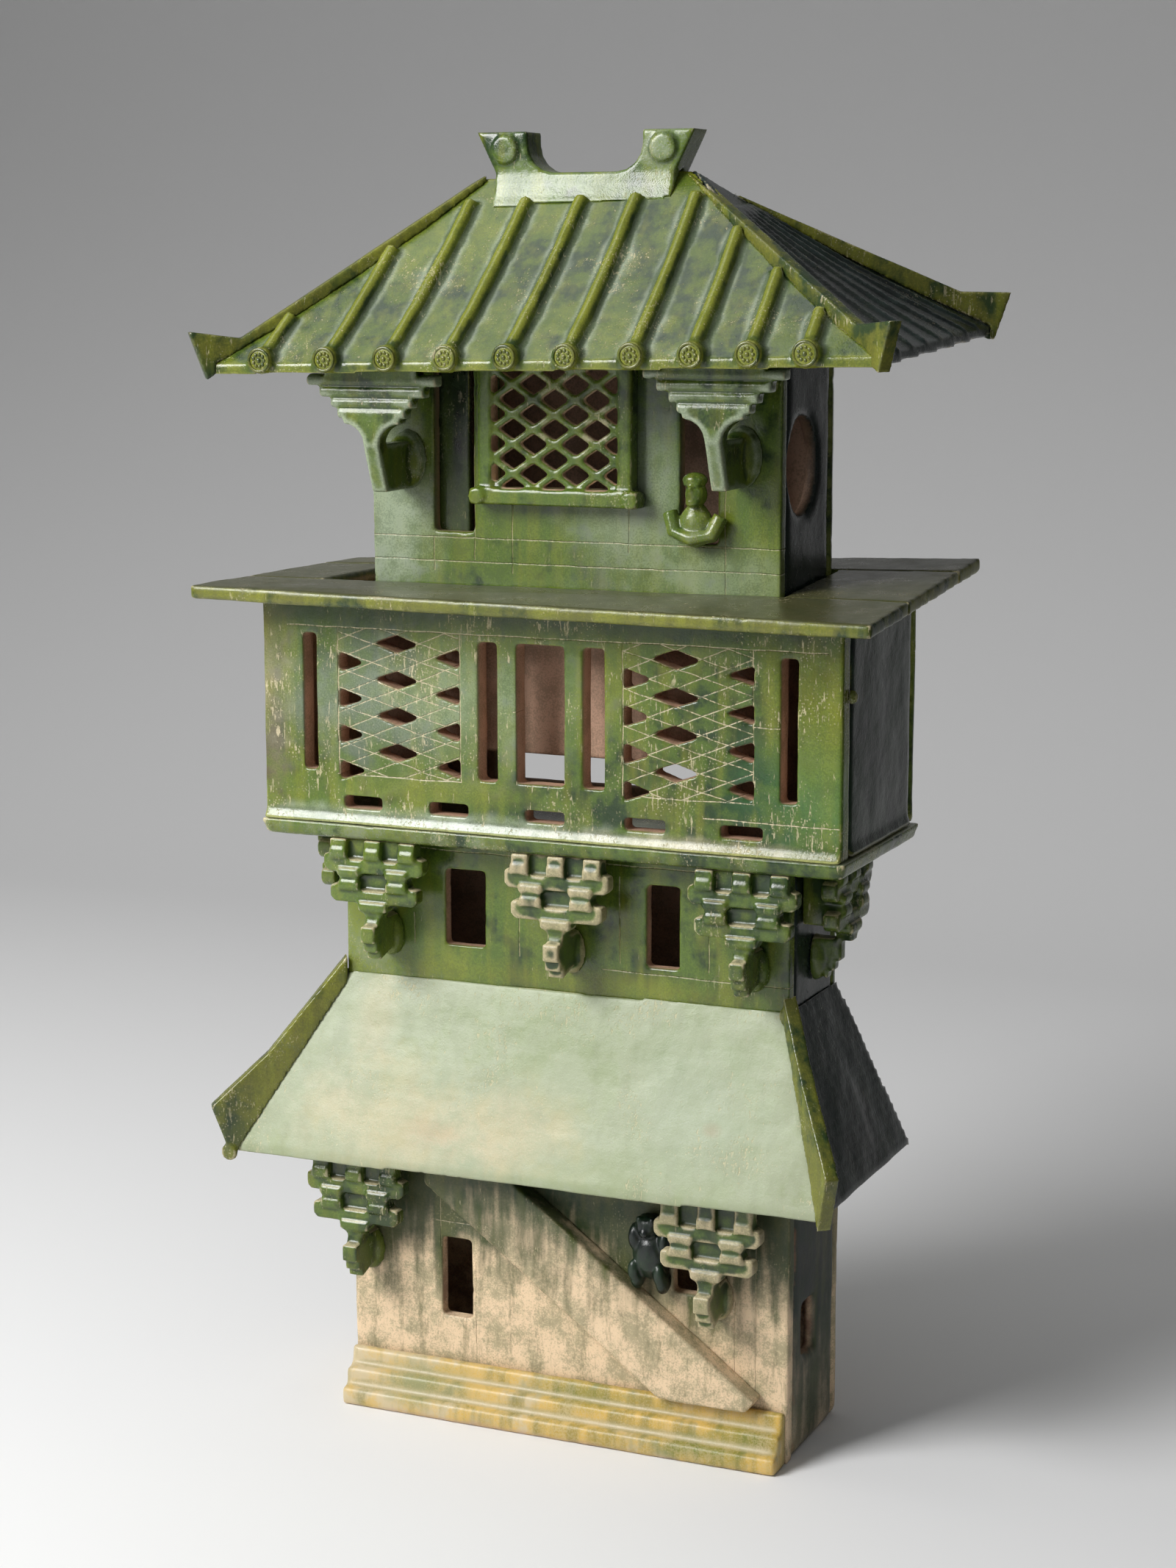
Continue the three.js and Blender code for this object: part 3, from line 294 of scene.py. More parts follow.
class WatchtowerClay(PropertyGroup):
    """How the clay is worked."""

    front_grain: length("Front grain", "Width of a face on the front walls", 0.0018)
    lattice_grain: length("Lattice grain", "Width of a face on the balcony's front", 0.0016)
    wall_grain: length("Wall grain", "Width of a face on the other walls", 0.0042)
    slab_grain: length("Slab grain", "Width of a face on ledges and slopes", 0.0026)
    tile_grain: length("Tile grain", "Width of a face on the main roof", 0.0019)
    moulding_grain: length("Moulding grain", "Width of a face on brackets and fins", 0.0014)
    softening: IntProperty(name="Softening", description="How far the edges are rounded", default=1)
    lump_size: length("Lump size", "Width of the lumps in the slabs", 0.07)
    lump_height: length("Lump height", "Height of the lumps in the slabs", 0.0012)
    chip_depth: length("Chip depth", "How deep the edges are chipped", 0.0011)
    glaze_reach: length("Glaze reach", "How far the glaze runs into an opening", 0.004)
    upper_glaze_reach: length("Upper glaze reach", "How far it runs into the upper front's openings", 0.012)
    glazed_end: length("Glazed end", "How far in from its ends a wall is glazed through", 0.014)
    unglazed_foot: length("Unglazed foot", "Level up to which the upper walls are bare", 0.677)
    window_rim: length("Window rim", "From the window's widest place to its opening", 0.018)
    window_bar: length("Window bar", "Height of the window's top and foot bars", 0.0125)
    window_glaze_reach: length("Window glaze reach", "How deep the window's bars are glazed", 0.0035)
    figure_grain: length("Figure grain", "Width of a face on the figures", 0.0009)
    rosette_radius: length("Rosette radius", "Radius of a rosette's rim", 0.0085)
    rosette_rim: length("Rosette rim", "Thickness of a rosette's rim", 0.0013)
    rosette_petals: IntProperty(name="Petals", description="Petals of a rosette", default=9)
    rosette_relief: number("Relief", "How flat the rosettes are", 0.6)
    foot_flare: length("Foot flare", "How far the balcony's walls flare at their foot", 0.004)
    foot_height: length("Foot height", "Height of the flare", 0.013)


class WatchtowerColours(PropertyGroup):
    """The colours of the glazes and the clay, and the darker copies that paint shade."""

    green: colour("Green", "Green glaze on the walls", (0.1, 0.16, 0.02))
    deep: colour("Deep green", "Thick green glaze", (0.016, 0.038, 0.01))
    gold: colour("Gold green", "Yellow-green glaze", (0.24, 0.255, 0.022))
    lime: colour("Lime", "Thin glaze on rubbed edges", (0.42, 0.43, 0.12))
    olive: colour("Olive", "Brownish green glaze", (0.15, 0.15, 0.022))
    dusk: colour("Dusk", "Dull glaze on the top of the rail slab", (0.08, 0.078, 0.03))
    moss: colour("Moss", "Green glaze on the main roof", (0.095, 0.14, 0.018))
    # Painted shade: shade, teal, night and slate are darker, bluer copies of the glaze colours, for faces
    # the lamps leave in shade
    shade: colour("Shade", "Green glaze on the shaded side", (0.01, 0.03, 0.011))
    teal: colour("Dark teal", "Blue-green glaze on the shaded side", (0.01, 0.022, 0.019))
    night: colour("Night", "Darkest glaze", (0.004, 0.008, 0.007))
    slate: colour("Slate", "Weathering of the glaze on the shaded side", (0.05, 0.07, 0.065))
    # Silvery bloom of the glaze, also laid as painted sheen where glossy faces catch the lamps
    bloom: colour("Bloom", "Silvery weathering of the glaze", (0.36, 0.42, 0.3))
    pale: colour("Pale glaze", "Weathered glaze on the skirt roof", (0.3, 0.35, 0.2))
    mist: colour("Mist", "Palest green of the skirt roof", (0.35, 0.39, 0.26))
    sage: colour("Sage", "Grey green on the base", (0.085, 0.092, 0.042))
    cream: colour("Cream", "Bare spots and scored lines", (0.7, 0.6, 0.38))
    sand: colour("Sand", "Thin glaze over buff clay", (0.56, 0.46, 0.28))
    clay: colour("Clay", "Bare buff clay", (0.74, 0.56, 0.36))
    pink: colour("Pink clay", "Bare clay inside the rooms", (0.5, 0.31, 0.21))
    rust: colour("Rust", "Reddish rubbed clay", (0.34, 0.16, 0.07))
    ochre: colour("Ochre", "Yellow glaze on the plinth", (0.62, 0.4, 0.08))
    straw: colour("Straw", "Pale yellow glaze on the plinth", (0.66, 0.5, 0.2))
    emerald: colour("Emerald", "Bright green runs", (0.05, 0.2, 0.06))


def hue(name):
    return (*getattr(bpy.context.scene.watchtower_colours, name), 1.0)


# Finishes

@dataclass(frozen=True)
class Line:
    """A line scored on a front: upright at an x, or level at a z, between two limits of the other."""

    upright: bool
    at: float
    low: float
    high: float


@dataclass(frozen=True)
class Lattice:
    """The lines scored beside the holes of a lattice."""

    left: float
    right: float
    middle: float
    top: float = 0.645
    foot: float = 0.5375
    head: float = 0.656
    pitch: float = 0.0292
    spread: float = 0.0071
    rise: float = 0.34
    tilt: float = 0.066


@dataclass(frozen=True)
class Patch:
    """A soft patch of another colour on a front."""

    tint: str
    x: float
    z: float
    width: float
    height: float
    amount: float = 0.7


@dataclass(frozen=True)
class Finish:
    """How one kind of surface is glazed and worn, with amounts from 0 to 1."""

    main: str
    second: str
    deep: str
    streak: float = 0.3
    bloom: float = 0.2
    wear: float = 0.5
    bare: float = 0.1
    rough: float = 0.2
    fleck: float = 0.3
    clay: str = "clay"
    silver: str = "bloom"
    rub: str = "lime"
    crest: str = ""
    top: str = ""
    top_amount: float = 0.8
    valley: str = ""
    foot: tuple = ()
    scored: tuple = ()
    patches: tuple = ()
    line_amount: float = 0.55


def lines(upright, level):
    """Scored lines: the upright ones at an x, the level ones at a z."""
    return tuple(Line(True, *ends) for ends in upright) + tuple(Line(False, *ends) for ends in level)


UPPER_LINES = lines(
    upright=(
        (-0.119, 0.7, 0.727), (-0.083, 0.71, 0.8), (-0.05, 0.7, 0.76), (0.05, 0.72, 0.84), (0.13, 0.69, 0.8),
    ),
    level=((0.727, -0.175, 0.176), (0.708, -0.175, 0.176)),
)
SECOND_LINES = lines(
    upright=(
        (-0.1365, 0.394, 0.42), (-0.0416, 0.392, 0.424), (0.0459, 0.394, 0.465), (0.122, 0.394, 0.425),
    ),
    level=((0.388, 0.03, 0.189), (0.474, -0.19, 0.189)),
)
BALCONY_LINES = lines(
    upright=[(x, 0.537, 0.656) for x in (-0.184, -0.0755, 0.0635, 0.1705)],
    level=(
        (0.5375, -0.186, -0.075), (0.5375, 0.063, 0.172), (0.656, -0.23, 0.23), (0.5965, -0.03, 0.0),
        (0.597, 0.17, 0.192), (0.524, 0.13, 0.24),
    ),
) + (Lattice(-0.184, -0.0765, -0.1315), Lattice(0.0635, 0.171, 0.107))
BASE_LINES = lines(
    upright=((-0.112, 0.14, 0.2), (-0.08, 0.06, 0.13), (0.148, 0.06, 0.13), (0.166, 0.05, 0.2)),
    level=((0.163, -0.12, -0.06),),
)
BALCONY_PATCHES = (
    Patch("emerald", 0.215, 0.545, 0.05, 0.05, 0.4), Patch("gold", 0.222, 0.61, 0.04, 0.06, 0.4),
    # Painted shadow: the deep band along the wall's top stands for the shade under the rail slab
    Patch("deep", 0.0, 0.672, 0.5, 0.014, 0.8), Patch("pink", -0.245, 0.6, 0.016, 0.09, 0.25),
    Patch("gold", -0.1, 0.53, 0.07, 0.012, 0.4), Patch("bloom", -0.13, 0.6, 0.14, 0.05, 0.45),
    # The bloom band along the wall's foot is a painted highlight on the lip's ridge
    Patch("bloom", -0.1, 0.502, 0.2, 0.01, 0.8), Patch("cream", 0.12, 0.502, 0.12, 0.006, 0.5),
)
SKIRT_PATCHES = (
    Patch("sand", -0.14, 0.255, 0.075, 0.04, 0.5), Patch("sand", -0.03, 0.262, 0.05, 0.032, 0.5),
    Patch("sand", -0.165, 0.34, 0.018, 0.05, 0.35), Patch("rust", 0.138, 0.277, 0.007, 0.005, 0.5),
    Patch("rust", -0.1, 0.25, 0.02, 0.01, 0.2), Patch("bloom", 0.13, 0.285, 0.06, 0.05, 0.5),
    Patch("green", 0.0, 0.34, 0.16, 0.03, 0.25),
)

# Main, second and deep glaze, then the streak, bloom-and-sheen, wear, bare, rough and fleck amounts
FINISHES = {
    "green wall": Finish("green", "gold", "deep", 0.35, 0.3, 0.5, 0.05, clay="pink"),
    "upper front": Finish(
        "green", "gold", "deep", 0.35, 0.1, 0.4, 0.05, clay="pink", scored=UPPER_LINES,
        # The bloom patches paint the silvery sheen of the lamps on this wall, strongest at its left
        patches=(
            Patch("bloom", -0.165, 0.75, 0.05, 0.07, 0.75), Patch("bloom", 0.05, 0.76, 0.05, 0.08, 0.45),
            Patch("bloom", 0.13, 0.7, 0.06, 0.03, 0.35),
        ),
    ),
    "second front": Finish(
        "green", "gold", "deep", 0.45, 0.35, 0.45, 0.06, clay="pink", scored=SECOND_LINES,
        patches=(Patch("gold", 0.03, 0.375, 0.16, 0.012, 0.4),),
    ),
    # Painted shade: a darker, bluer copy of the green wall finish for the right-hand walls
    "shaded wall": Finish(
        "teal", "deep", "night", 0.3, 0.2, 0.3, 0.03, 0.25, 0.15, clay="pink", silver="slate", rub="slate",
    ),
    # Painted shade: a darker copy of the green wall finish for the door leaf, which sits back in its opening
    "door": Finish("deep", "green", "night", 0.5, 0.1, 0.4, 0.04, 0.25, 0.4, clay="pink"),
    "balcony front": Finish(
        "green", "gold", "deep", 0.5, 0.4, 0.5, 0.2, fleck=1.0, clay="pink", scored=BALCONY_LINES,
        patches=BALCONY_PATCHES, line_amount=1.0,
    ),
    # Painted shade: a darker copy of the balcony's glaze for its right-hand wall
    "balcony side": Finish(
        "shade", "deep", "night", 0.3, 0.2, 0.3, 0.03, 0.2, 0.1, clay="pink", silver="slate", rub="olive",
    ),
    # The mist on the lip's top and its strong silvery bloom paint the highlight along the lip's ridge
    "lip": Finish(
        "green", "gold", "deep", 0.4, 0.9, 0.6, 0.25, fleck=0.8, rub="cream", top="mist", silver="mist",
    ),
    "base wall": Finish(
        "sage", "olive", "deep", 0.35, 0.1, 0.35, 0.1, 0.5, 0.5, rub="sand", foot=(0.09, 0.165),
        scored=BASE_LINES, patches=(Patch("sage", 0.17, 0.12, 0.03, 0.1, 0.6),),
    ),
    # Painted shade: a darker copy of the base's glaze for its right-hand wall
    "base side": Finish(
        "shade", "olive", "night", 0.3, 0.05, 0.4, 0.04, 0.4, 0.1, rub="rust", silver="slate",
        foot=(-0.05, 0.1),
    ),
    "ramp": Finish("sage", "olive", "deep", 0.4, 0.1, 0.4, 0.1, 0.5, 0.6, rub="sand", foot=(0.09, 0.19)),
    "skirt": Finish(
        "mist", "sage", "pale", 0.16, 0.4, 0.5, 0.08, 0.4, 0.7, rub="sand", silver="mist",
        patches=SKIRT_PATCHES,
    ),
    # Painted shade: a darker, bluer copy of the skirt finish for its right-hand slope
    "shaded skirt": Finish(
        "teal", "deep", "night", 0.3, 0.2, 0.4, 0.06, 0.22, 0.2, rub="rust", silver="slate",
    ),
    "plinth": Finish(
        "ochre", "olive", "sand", 0.7, 0.4, 0.6, 0.1, 0.4, 0.4, rub="cream", silver="straw", valley="olive",
        patches=(
            Patch("green", 0.12, 0.012, 0.035, 0.01), Patch("green", 0.165, 0.025, 0.025, 0.01, 0.6),
            Patch("green", -0.12, 0.025, 0.04, 0.014, 0.6), Patch("green", 0.02, 0.036, 0.04, 0.01, 0.6),
            Patch("pink", -0.05, 0.0, 0.15, 0.004, 0.6),
        ),
    ),
    # The deep green in the valleys between the blocks is painted shade
    "bracket": Finish(
        "green", "gold", "deep", 0.35, 0.4, 0.5, 0.35, fleck=0.6, rub="cream", top="cream",
        valley="deep",
    ),
    "pale bracket": Finish(
        "green", "sage", "deep", 0.4, 0.4, 0.5, 0.3, 0.35, rub="cream", top="cream",
        top_amount=0.85, crest="sand",
    ),
    # The silvery bloom on the crests is a painted highlight, and the deep green in the valleys is painted
    # shade
    "upper bracket": Finish(
        "green", "gold", "deep", 0.4, 0.3, 0.4, 0.2, fleck=0.6, rub="cream", crest="bloom",
        valley="deep",
    ),
    "window": Finish("green", "gold", "deep", 0.35, 0.3, 0.45, 0.12, fleck=0.7, rub="cream"),
    "rail": Finish(
        "olive", "gold", "deep", 0.6, 0.2, 0.4, 0.15, 0.3, 0.6, rub="cream", top="dusk", top_amount=1.0,
    ),
    # The silvery bloom in the valleys between the ribs is painted sheen
    "roof": Finish(
        "moss", "gold", "deep", 0.35, 0.12, 0.5, 0.06, 0.2, 0.7, crest="gold", valley="bloom",
    ),
    # Painted shade: a darker, bluer copy of the roof finish for its right-hand slope
    "shaded roof": Finish(
        "teal", "deep", "night", 0.3, 0.2, 0.5, 0.08, 0.25, 0.2, crest="slate", rub="cream", silver="slate",
    ),
    "fin": Finish("olive", "gold", "deep", 0.5, 0.2, 0.5, 0.12, fleck=0.6, rub="cream"),
    "rosette": Finish("olive", "green", "deep", 0.4, 0.3, 0.3, 0.06, fleck=0.8),
    "ridge": Finish("green", "gold", "deep", 0.5, 0.9, 0.4, 0.12, fleck=0.6, rub="cream"),
    # Painted shade: the crouching animal is given the darker shaded-side colours
    "bear": Finish("shade", "teal", "night", 0.3, 0.1, 0.3, 0.04, 0.3, 0.1, silver="slate", rub="slate"),
    "figure": Finish("green", "gold", "deep", 0.4, 0.4, 0.4, 0.06, 0.2, 0.4),
}

# Waves per metre of each texture; drips and strokes are drawn out downwards by their stretch
CLOUD_SCALE = 8.0
PATCH_SCALE = 22.0
MOTTLE_SCALE = 45.0
DRIP_SCALE = 95.0
DOT_SCALE = 380.0
STROKE_SCALE = 420.0
GRAIN_SCALE = 700.0
DRIP_STRETCH = 0.12
STROKE_STRETCH = 0.2
PATCH_SHIFT = (3.0, 1.0, 2.0)
RELIEF_HEIGHT = 0.001
LINE_WOBBLE = 0.004
SMOOTHEST = 0.12

# Where each look starts and is full, on the value that drives it, and how much of it shows
SHOWS = {
    "thin": (0.41, 0.55, 1.0), "streak": (0.44, 0.62, 1.0), "crest": (0.06, 0.26, 0.7),
    "valley": (0.03, 0.2, 0.6), "patch": (1.5, 0.1, 1.0), "top": (0.5, 0.8, 1.0),
    "pool_and_shade": (-0.02, -0.22, 0.6), "speck": (0.32, 0.16, 1.0), "broken": (0.42, 0.52, 1.0),
    "run": (0.5, 0.6, 1.0), "buff": (0.4, 0.65, 1.0), "inside": (0.35, 0.65, 1.0),
    "dark": (0.44, 0.58, 0.35),
}
SPOT_AMOUNT = 0.75
RUB_AMOUNT = 0.65


class Glaze(Shader):
    """The nodes of one finish: its textures, what the clay notes on its points, and its colour."""

    def __init__(self, name):
        super().__init__(name)
        place = self.place()
        shifted = self.vector("ADD", place, PATCH_SHIFT)
        dripping = self.vector("MULTIPLY", place, (1.0, 1.0, DRIP_STRETCH))
        brushed = self.vector("MULTIPLY", place, (1.0, 1.0, STROKE_STRETCH))
        self.look = FINISHES[name]
        self.x = self.part(place, 0)
        self.z = self.part(place, 2)
        self.edge = self.attribute("edge")
        self.crest = self.attribute("crest")
        self.up = self.attribute("up")
        self.bare = 1.0 - self.attribute("glaze")
        self.cloud = self.noise(place, CLOUD_SCALE)
        self.mottle = self.noise(place, MOTTLE_SCALE, 6.0, 0.65)
        self.patches = self.noise(shifted, PATCH_SCALE, 5.0, 0.6)
        self.drips = self.noise(dripping, DRIP_SCALE)
        self.strokes = self.noise(brushed, STROKE_SCALE, roughness=0.6)
        self.grain = self.noise(place, GRAIN_SCALE, roughness=0.6)
        self.dots = self.node("ShaderNodeTexVoronoi", Vector=place, Scale=DOT_SCALE)
        self.colour = hue(self.look.deep)

    def blend(self, **shares):
        """Textures added up in these shares."""
        parts = [getattr(self, name) * share for name, share in shares.items()]
        return sum(parts[1:], parts[0])

    def uneven(self, **spans):
        """Textures that push a value up and down by these spans."""
        parts = [(getattr(self, name) - 0.5) * span for name, span in spans.items()]
        return sum(parts[1:], parts[0])

    def show(self, name, value):
        """How much of a look shows at a value."""
        start, full, amount = SHOWS[name]
        return self.ramp(value, start, full) * amount

    def lay(self, amount, paint):
        """Lays a named or mixed colour over the colour so far."""
        self.colour = self.mix(amount, self.colour, hue(paint) if isinstance(paint, str) else paint)


def scored_line(net, x, z, line):
    """1 on a straight line."""
    across, along = (x, z) if line.upright else (z, x)
    return net.band(across, line.at - LINE_SOFT, line.at + LINE_SOFT) * net.band(along, line.low, line.high)


def scored_lattice(net, x, z, lattice):
    """1 on the crossing lines beside a lattice's holes."""
    level = z - lattice.top - (x - lattice.middle) * lattice.tilt
    marks = []
    for rise in (lattice.rise, -lattice.rise):
        height = (level + (x - lattice.middle) * rise).math("WRAP", -lattice.pitch / 2, lattice.pitch / 2)
        near, far = lattice.spread - LINE_SOFT, lattice.spread + LINE_SOFT
        marks.append(net.band(height.math("ABSOLUTE"), near, far))
    mark = marks[0].math("MAXIMUM", marks[1]) * net.band(x, lattice.left, lattice.right)
    return mark * net.band(z, lattice.foot, lattice.head)


def scored(net):
    """1 on all that is scored on a front."""
    wobble = net.uneven(patches=LINE_WOBBLE)
    x, z = net.x + wobble, net.z + wobble
    total = None
    for line in net.look.scored:
        draw = scored_line if isinstance(line, Line) else scored_lattice
        mark = draw(net, x, z, line)
        total = mark if total is None else total.math("MAXIMUM", mark)
    return total


def weathering_and_sheen(net):
    """1 where the glaze has gone silvery, and where it is painted with the sheen of the lamps."""
    clouds = net.blend(cloud=0.3, patches=0.3, mottle=0.2, grain=0.2)
    return net.ramp(clouds, 0.58 - 0.1 * net.look.bloom, 0.7 - 0.1 * net.look.bloom)


def lay_coats(net, haze):
    """Lays the colours of the glaze where it isn't worn, with the painted shade and sheen that some finishes
    carry.
    """
    look = net.look
    net.lay(net.show("thin", net.blend(mottle=0.6, cloud=0.4)), look.main)
    streak = net.show("streak", net.blend(drips=0.5, cloud=0.25, patches=0.25))
    net.lay(streak * look.streak, look.second)
    if look.crest:
        net.lay(net.show("crest", net.crest + net.uneven(mottle=0.5)), look.crest)
    if look.valley:
        net.lay(net.show("valley", net.crest * -1.0 + net.uneven(patches=0.4)), look.valley)
    # Silvery bloom, partly weathering of the glaze and partly painted sheen
    net.lay(haze * (0.15 + 0.6 * look.bloom), look.silver)
    for patch in look.patches:
        aside = (net.x - patch.x) / patch.width
        above = (net.z - patch.z) / patch.height
        away = (aside * aside + above * above).math("SQRT") + net.uneven(patches=1.8, mottle=1.4)
        net.lay(net.show("patch", away) * patch.amount, patch.tint)
    if look.top:
        net.lay(net.show("top", net.up + net.uneven(mottle=0.5)) * look.top_amount, look.top)
    # Thick glaze pools darker in hollows, and this also paints shade into them
    net.lay(net.show("pool_and_shade", net.edge), look.deep)


def worn_spots(net):
    """1 where the glaze is gone in spots, scuffs and specks."""
    limit = 0.68 - 0.12 * net.look.bare
    sparse = 0.04 * net.look.fleck
    spots = net.ramp(net.blend(patches=0.5, mottle=0.5), limit, limit + 0.05)
    scuffs = net.ramp(net.blend(strokes=0.65, patches=0.35), 0.62 - sparse, 0.67 - sparse)
    specks = net.show("speck", net.dots) * net.ramp(net.patches, 0.56 - 3.0 * sparse, 0.66)
    return (spots + (scuffs * 0.8 + specks * 0.7) * net.look.fleck).clamped()


def rubbed_edges(net):
    """1 where the glaze is rubbed off an edge."""
    limit = 0.46 - 0.2 * net.look.wear
    return net.ramp(net.edge + net.uneven(mottle=0.6, patches=0.6, grain=0.3), limit, limit + 0.18)


def bare_foot(net):
    """1 where the glaze doesn't reach down to, apart from the streaks that run on."""
    reach = net.z + net.uneven(drips=0.16, cloud=0.14, patches=0.12)
    runs = net.show("run", net.blend(drips=0.4, strokes=0.4, patches=0.2))
    return (1.0 - net.ramp(reach, *net.look.foot)) * (1.0 - 0.35 * runs)


def glaze(name):
    """The material of a finish, which is made once."""
    if name in bpy.data.materials:
        return bpy.data.materials[name]
    net = Glaze(name)
    look = net.look
    haze = weathering_and_sheen(net)
    worn = worn_spots(net)
    lay_coats(net, haze)
    net.lay(worn * SPOT_AMOUNT, "cream")
    net.lay(rubbed_edges(net) * RUB_AMOUNT, look.rub)
    relief = net.blend(mottle=0.5, grain=0.12) - worn * 0.2
    if look.scored:
        cut = scored(net)
        broken = net.show("broken", net.blend(mottle=0.5, strokes=0.5))
        net.lay(cut * (0.15 + 0.85 * broken) * look.line_amount, "cream")
        relief = relief - cut * 0.5
    if look.foot:
        net.lay(bare_foot(net), net.mix(net.show("buff", net.mottle), hue("clay"), hue("sand")))
    net.lay(net.bare, net.mix(net.show("inside", net.mottle), hue(look.clay), hue("pink")))
    net.lay(net.show("dark", net.blend(grain=0.5, mottle=0.5)), look.deep)
    roughness = look.rough + 0.35 * worn + 0.12 * haze + 0.45 * net.bare + net.uneven(mottle=0.3)
    return net.finish(net.colour, roughness.math("MAXIMUM", SMOOTHEST), relief, RELIEF_HEIGHT)


# Clay

# How often the form is blurred to tell its edges and crests, and how high a crest is
EDGE_REACH = 5
CREST_REACH = 25
CREST_HEIGHT = 3.0
# Chips show where their texture is high and the clay bulges
CHIP_SCALE = 70.0
CHIP_SEED = 5.0
CHIP_FADE = (0.54, 0.74)
BULGE_FADE = (0.05, 0.4)
# How squarely a face looks outward where it flares and is glazed
OUTER_FADE = (0.3, 0.8)
GLAZED_FACING = 0.2
FACING_FADE = 0.4
# How softly the glaze ends at bare clay and at a bare foot
BARE_EDGE = 0.001
FOOT_EDGE = 0.002
# Corners nearer than this are one
WELD = 1e-6
# Farther than the tower is large
EVERYWHERE = 10.0


def clay_tree():
    """Softens a body of clay, gives it lumps and chipped edges, and notes its edges and its glaze."""
    name = "worked clay"
    if name in bpy.data.node_groups:
        return bpy.data.node_groups[name]
    net, given = geometry_tree(
        name,
        floats=(
            "Grain", "Lump Size", "Lump Height", "Chip Depth", "Seed", "Face Level", "Glaze Reach",
            "Foot Level", "Foot Flare", "Foot Height", "Unglazed Foot",
        ),
        whole=("Softening",),
        vectors=("Outward", "Bare Centre", "Bare Half", "Lowest", "Highest"),
    )
    position = net.node("GeometryNodeInputPosition")
    normal = net.node("GeometryNodeInputNormal")

    def blurred(iterations):
        return net.node(
            "GeometryNodeBlurAttribute", {"data_type": "FLOAT_VECTOR"},
            Value=position, Iterations=iterations,
        )

    def convexity(iterations):
        hollow = net.vector("SUBTRACT", position, blurred(iterations))
        return net.vector("DOT_PRODUCT", hollow, normal) / given["Grain"]

    def moved(shape, **change):
        return net.node("GeometryNodeSetPosition", Geometry=shape, **change)

    def pushed(shape, distance):
        return moved(shape, Offset=net.vector("SCALE", normal, distance))

    shape = moved(given["Geometry"], Position=blurred(given["Softening"]))
    lumps = net.noise(position, 1.0 / given["Lump Size"], seed=given["Seed"])
    shape = pushed(shape, (lumps - 0.5) * 2.0 * given["Lump Height"])
    bites = net.ramp(net.noise(position, CHIP_SCALE, 5.0, 0.65, given["Seed"] + CHIP_SEED), *CHIP_FADE)
    bulge = net.ramp(convexity(EDGE_REACH), *BULGE_FADE)
    shape = pushed(shape, -1.0 * given["Chip Depth"] * bites * bulge)
    facing = net.vector("DOT_PRODUCT", normal, given["Outward"])
    outer = net.ramp(facing, *OUTER_FADE)
    height = net.part(position, 2)
    fall = 1.0 - net.ramp(height, given["Foot Level"], given["Foot Level"] + given["Foot Height"])
    flare = net.vector("SCALE", given["Outward"], fall * fall * outer * given["Foot Flare"])
    shape = moved(shape, Offset=flare)
    held = net.vector("MINIMUM", net.vector("MAXIMUM", position, given["Lowest"]), given["Highest"])
    shape = moved(shape, Position=held)
    shape = stored(net, shape, "edge", convexity(EDGE_REACH))
    shape = stored(net, shape, "crest", convexity(CREST_REACH) / CREST_HEIGHT)
    shape = stored(net, shape, "up", net.part(normal, 2))
    level = net.vector("DOT_PRODUCT", position, given["Outward"])
    depth = (given["Face Level"] - level) / given["Glaze Reach"]
    cover = (1.0 - depth).math("MAXIMUM", (facing - GLAZED_FACING) / FACING_FADE)
    away = net.vector("ABSOLUTE", net.vector("SUBTRACT", position, given["Bare Centre"]))
    beyond = net.vector("SUBTRACT", away, given["Bare Half"])
    for axis in range(3):
        cover = cover.math("MAXIMUM", net.ramp(net.part(beyond, axis), 0.0, BARE_EDGE))
    above = net.ramp(height, given["Unglazed Foot"] - FOOT_EDGE, given["Unglazed Foot"])
    shape = stored(net, shape, "glaze", cover.clamped() * above)
    return close_tree(net, shape, given["Material"])


def new_object(name, data):
    thing = bpy.data.objects.new(name, data)
    bpy.context.scene.collection.objects.link(thing)
    return thing


def settle(piece, material):
    """Turns a piece's modifiers into plain mesh."""
    graph = bpy.context.evaluated_depsgraph_get()
    mesh = bpy.data.meshes.new_from_object(
        piece.evaluated_get(graph), preserve_all_data_layers=True, depsgraph=graph,
    )
    piece.modifiers.clear()
    piece.data = mesh
    mesh.materials.clear()
    mesh.materials.append(material)
    mesh.shade_smooth()


def welded(node):
    """A copy of a CAD node's mesh with its doubles merged."""
    shell = bmesh.new()
    shell.from_mesh(frame["nodes"][node].data)
    bmesh.ops.remove_doubles(shell, verts=shell.verts, dist=WELD)
    return shell


def node_copy(node, beads):
    """A new object with the form of a CAD node and more rounded parts."""
    shell = welded(node)
    for centre, radii in beads:
        form = Matrix.Translation(centre) @ Matrix.Diagonal((*radii, 1.0))
        bmesh.ops.create_icosphere(shell, subdivisions=3, radius=1.0, matrix=form)
    mesh = bpy.data.meshes.new(f"glazed_{node}")
    shell.to_mesh(mesh)
    shell.free()
    return new_object(mesh.name, mesh)


def join_cad(piece, node):
    """Lets a finished piece stand for a CAD node."""
    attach(piece, BODY_OF[node])
    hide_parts(node)


def middle(low, high):
    return (Vector(low) + Vector(high)) / 2


def face_level(node, outward):
    """How far out a node reaches along a direction."""
    low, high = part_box(node)
    return sum(max(low[axis] * outward[axis], high[axis] * outward[axis]) for axis in range(3))


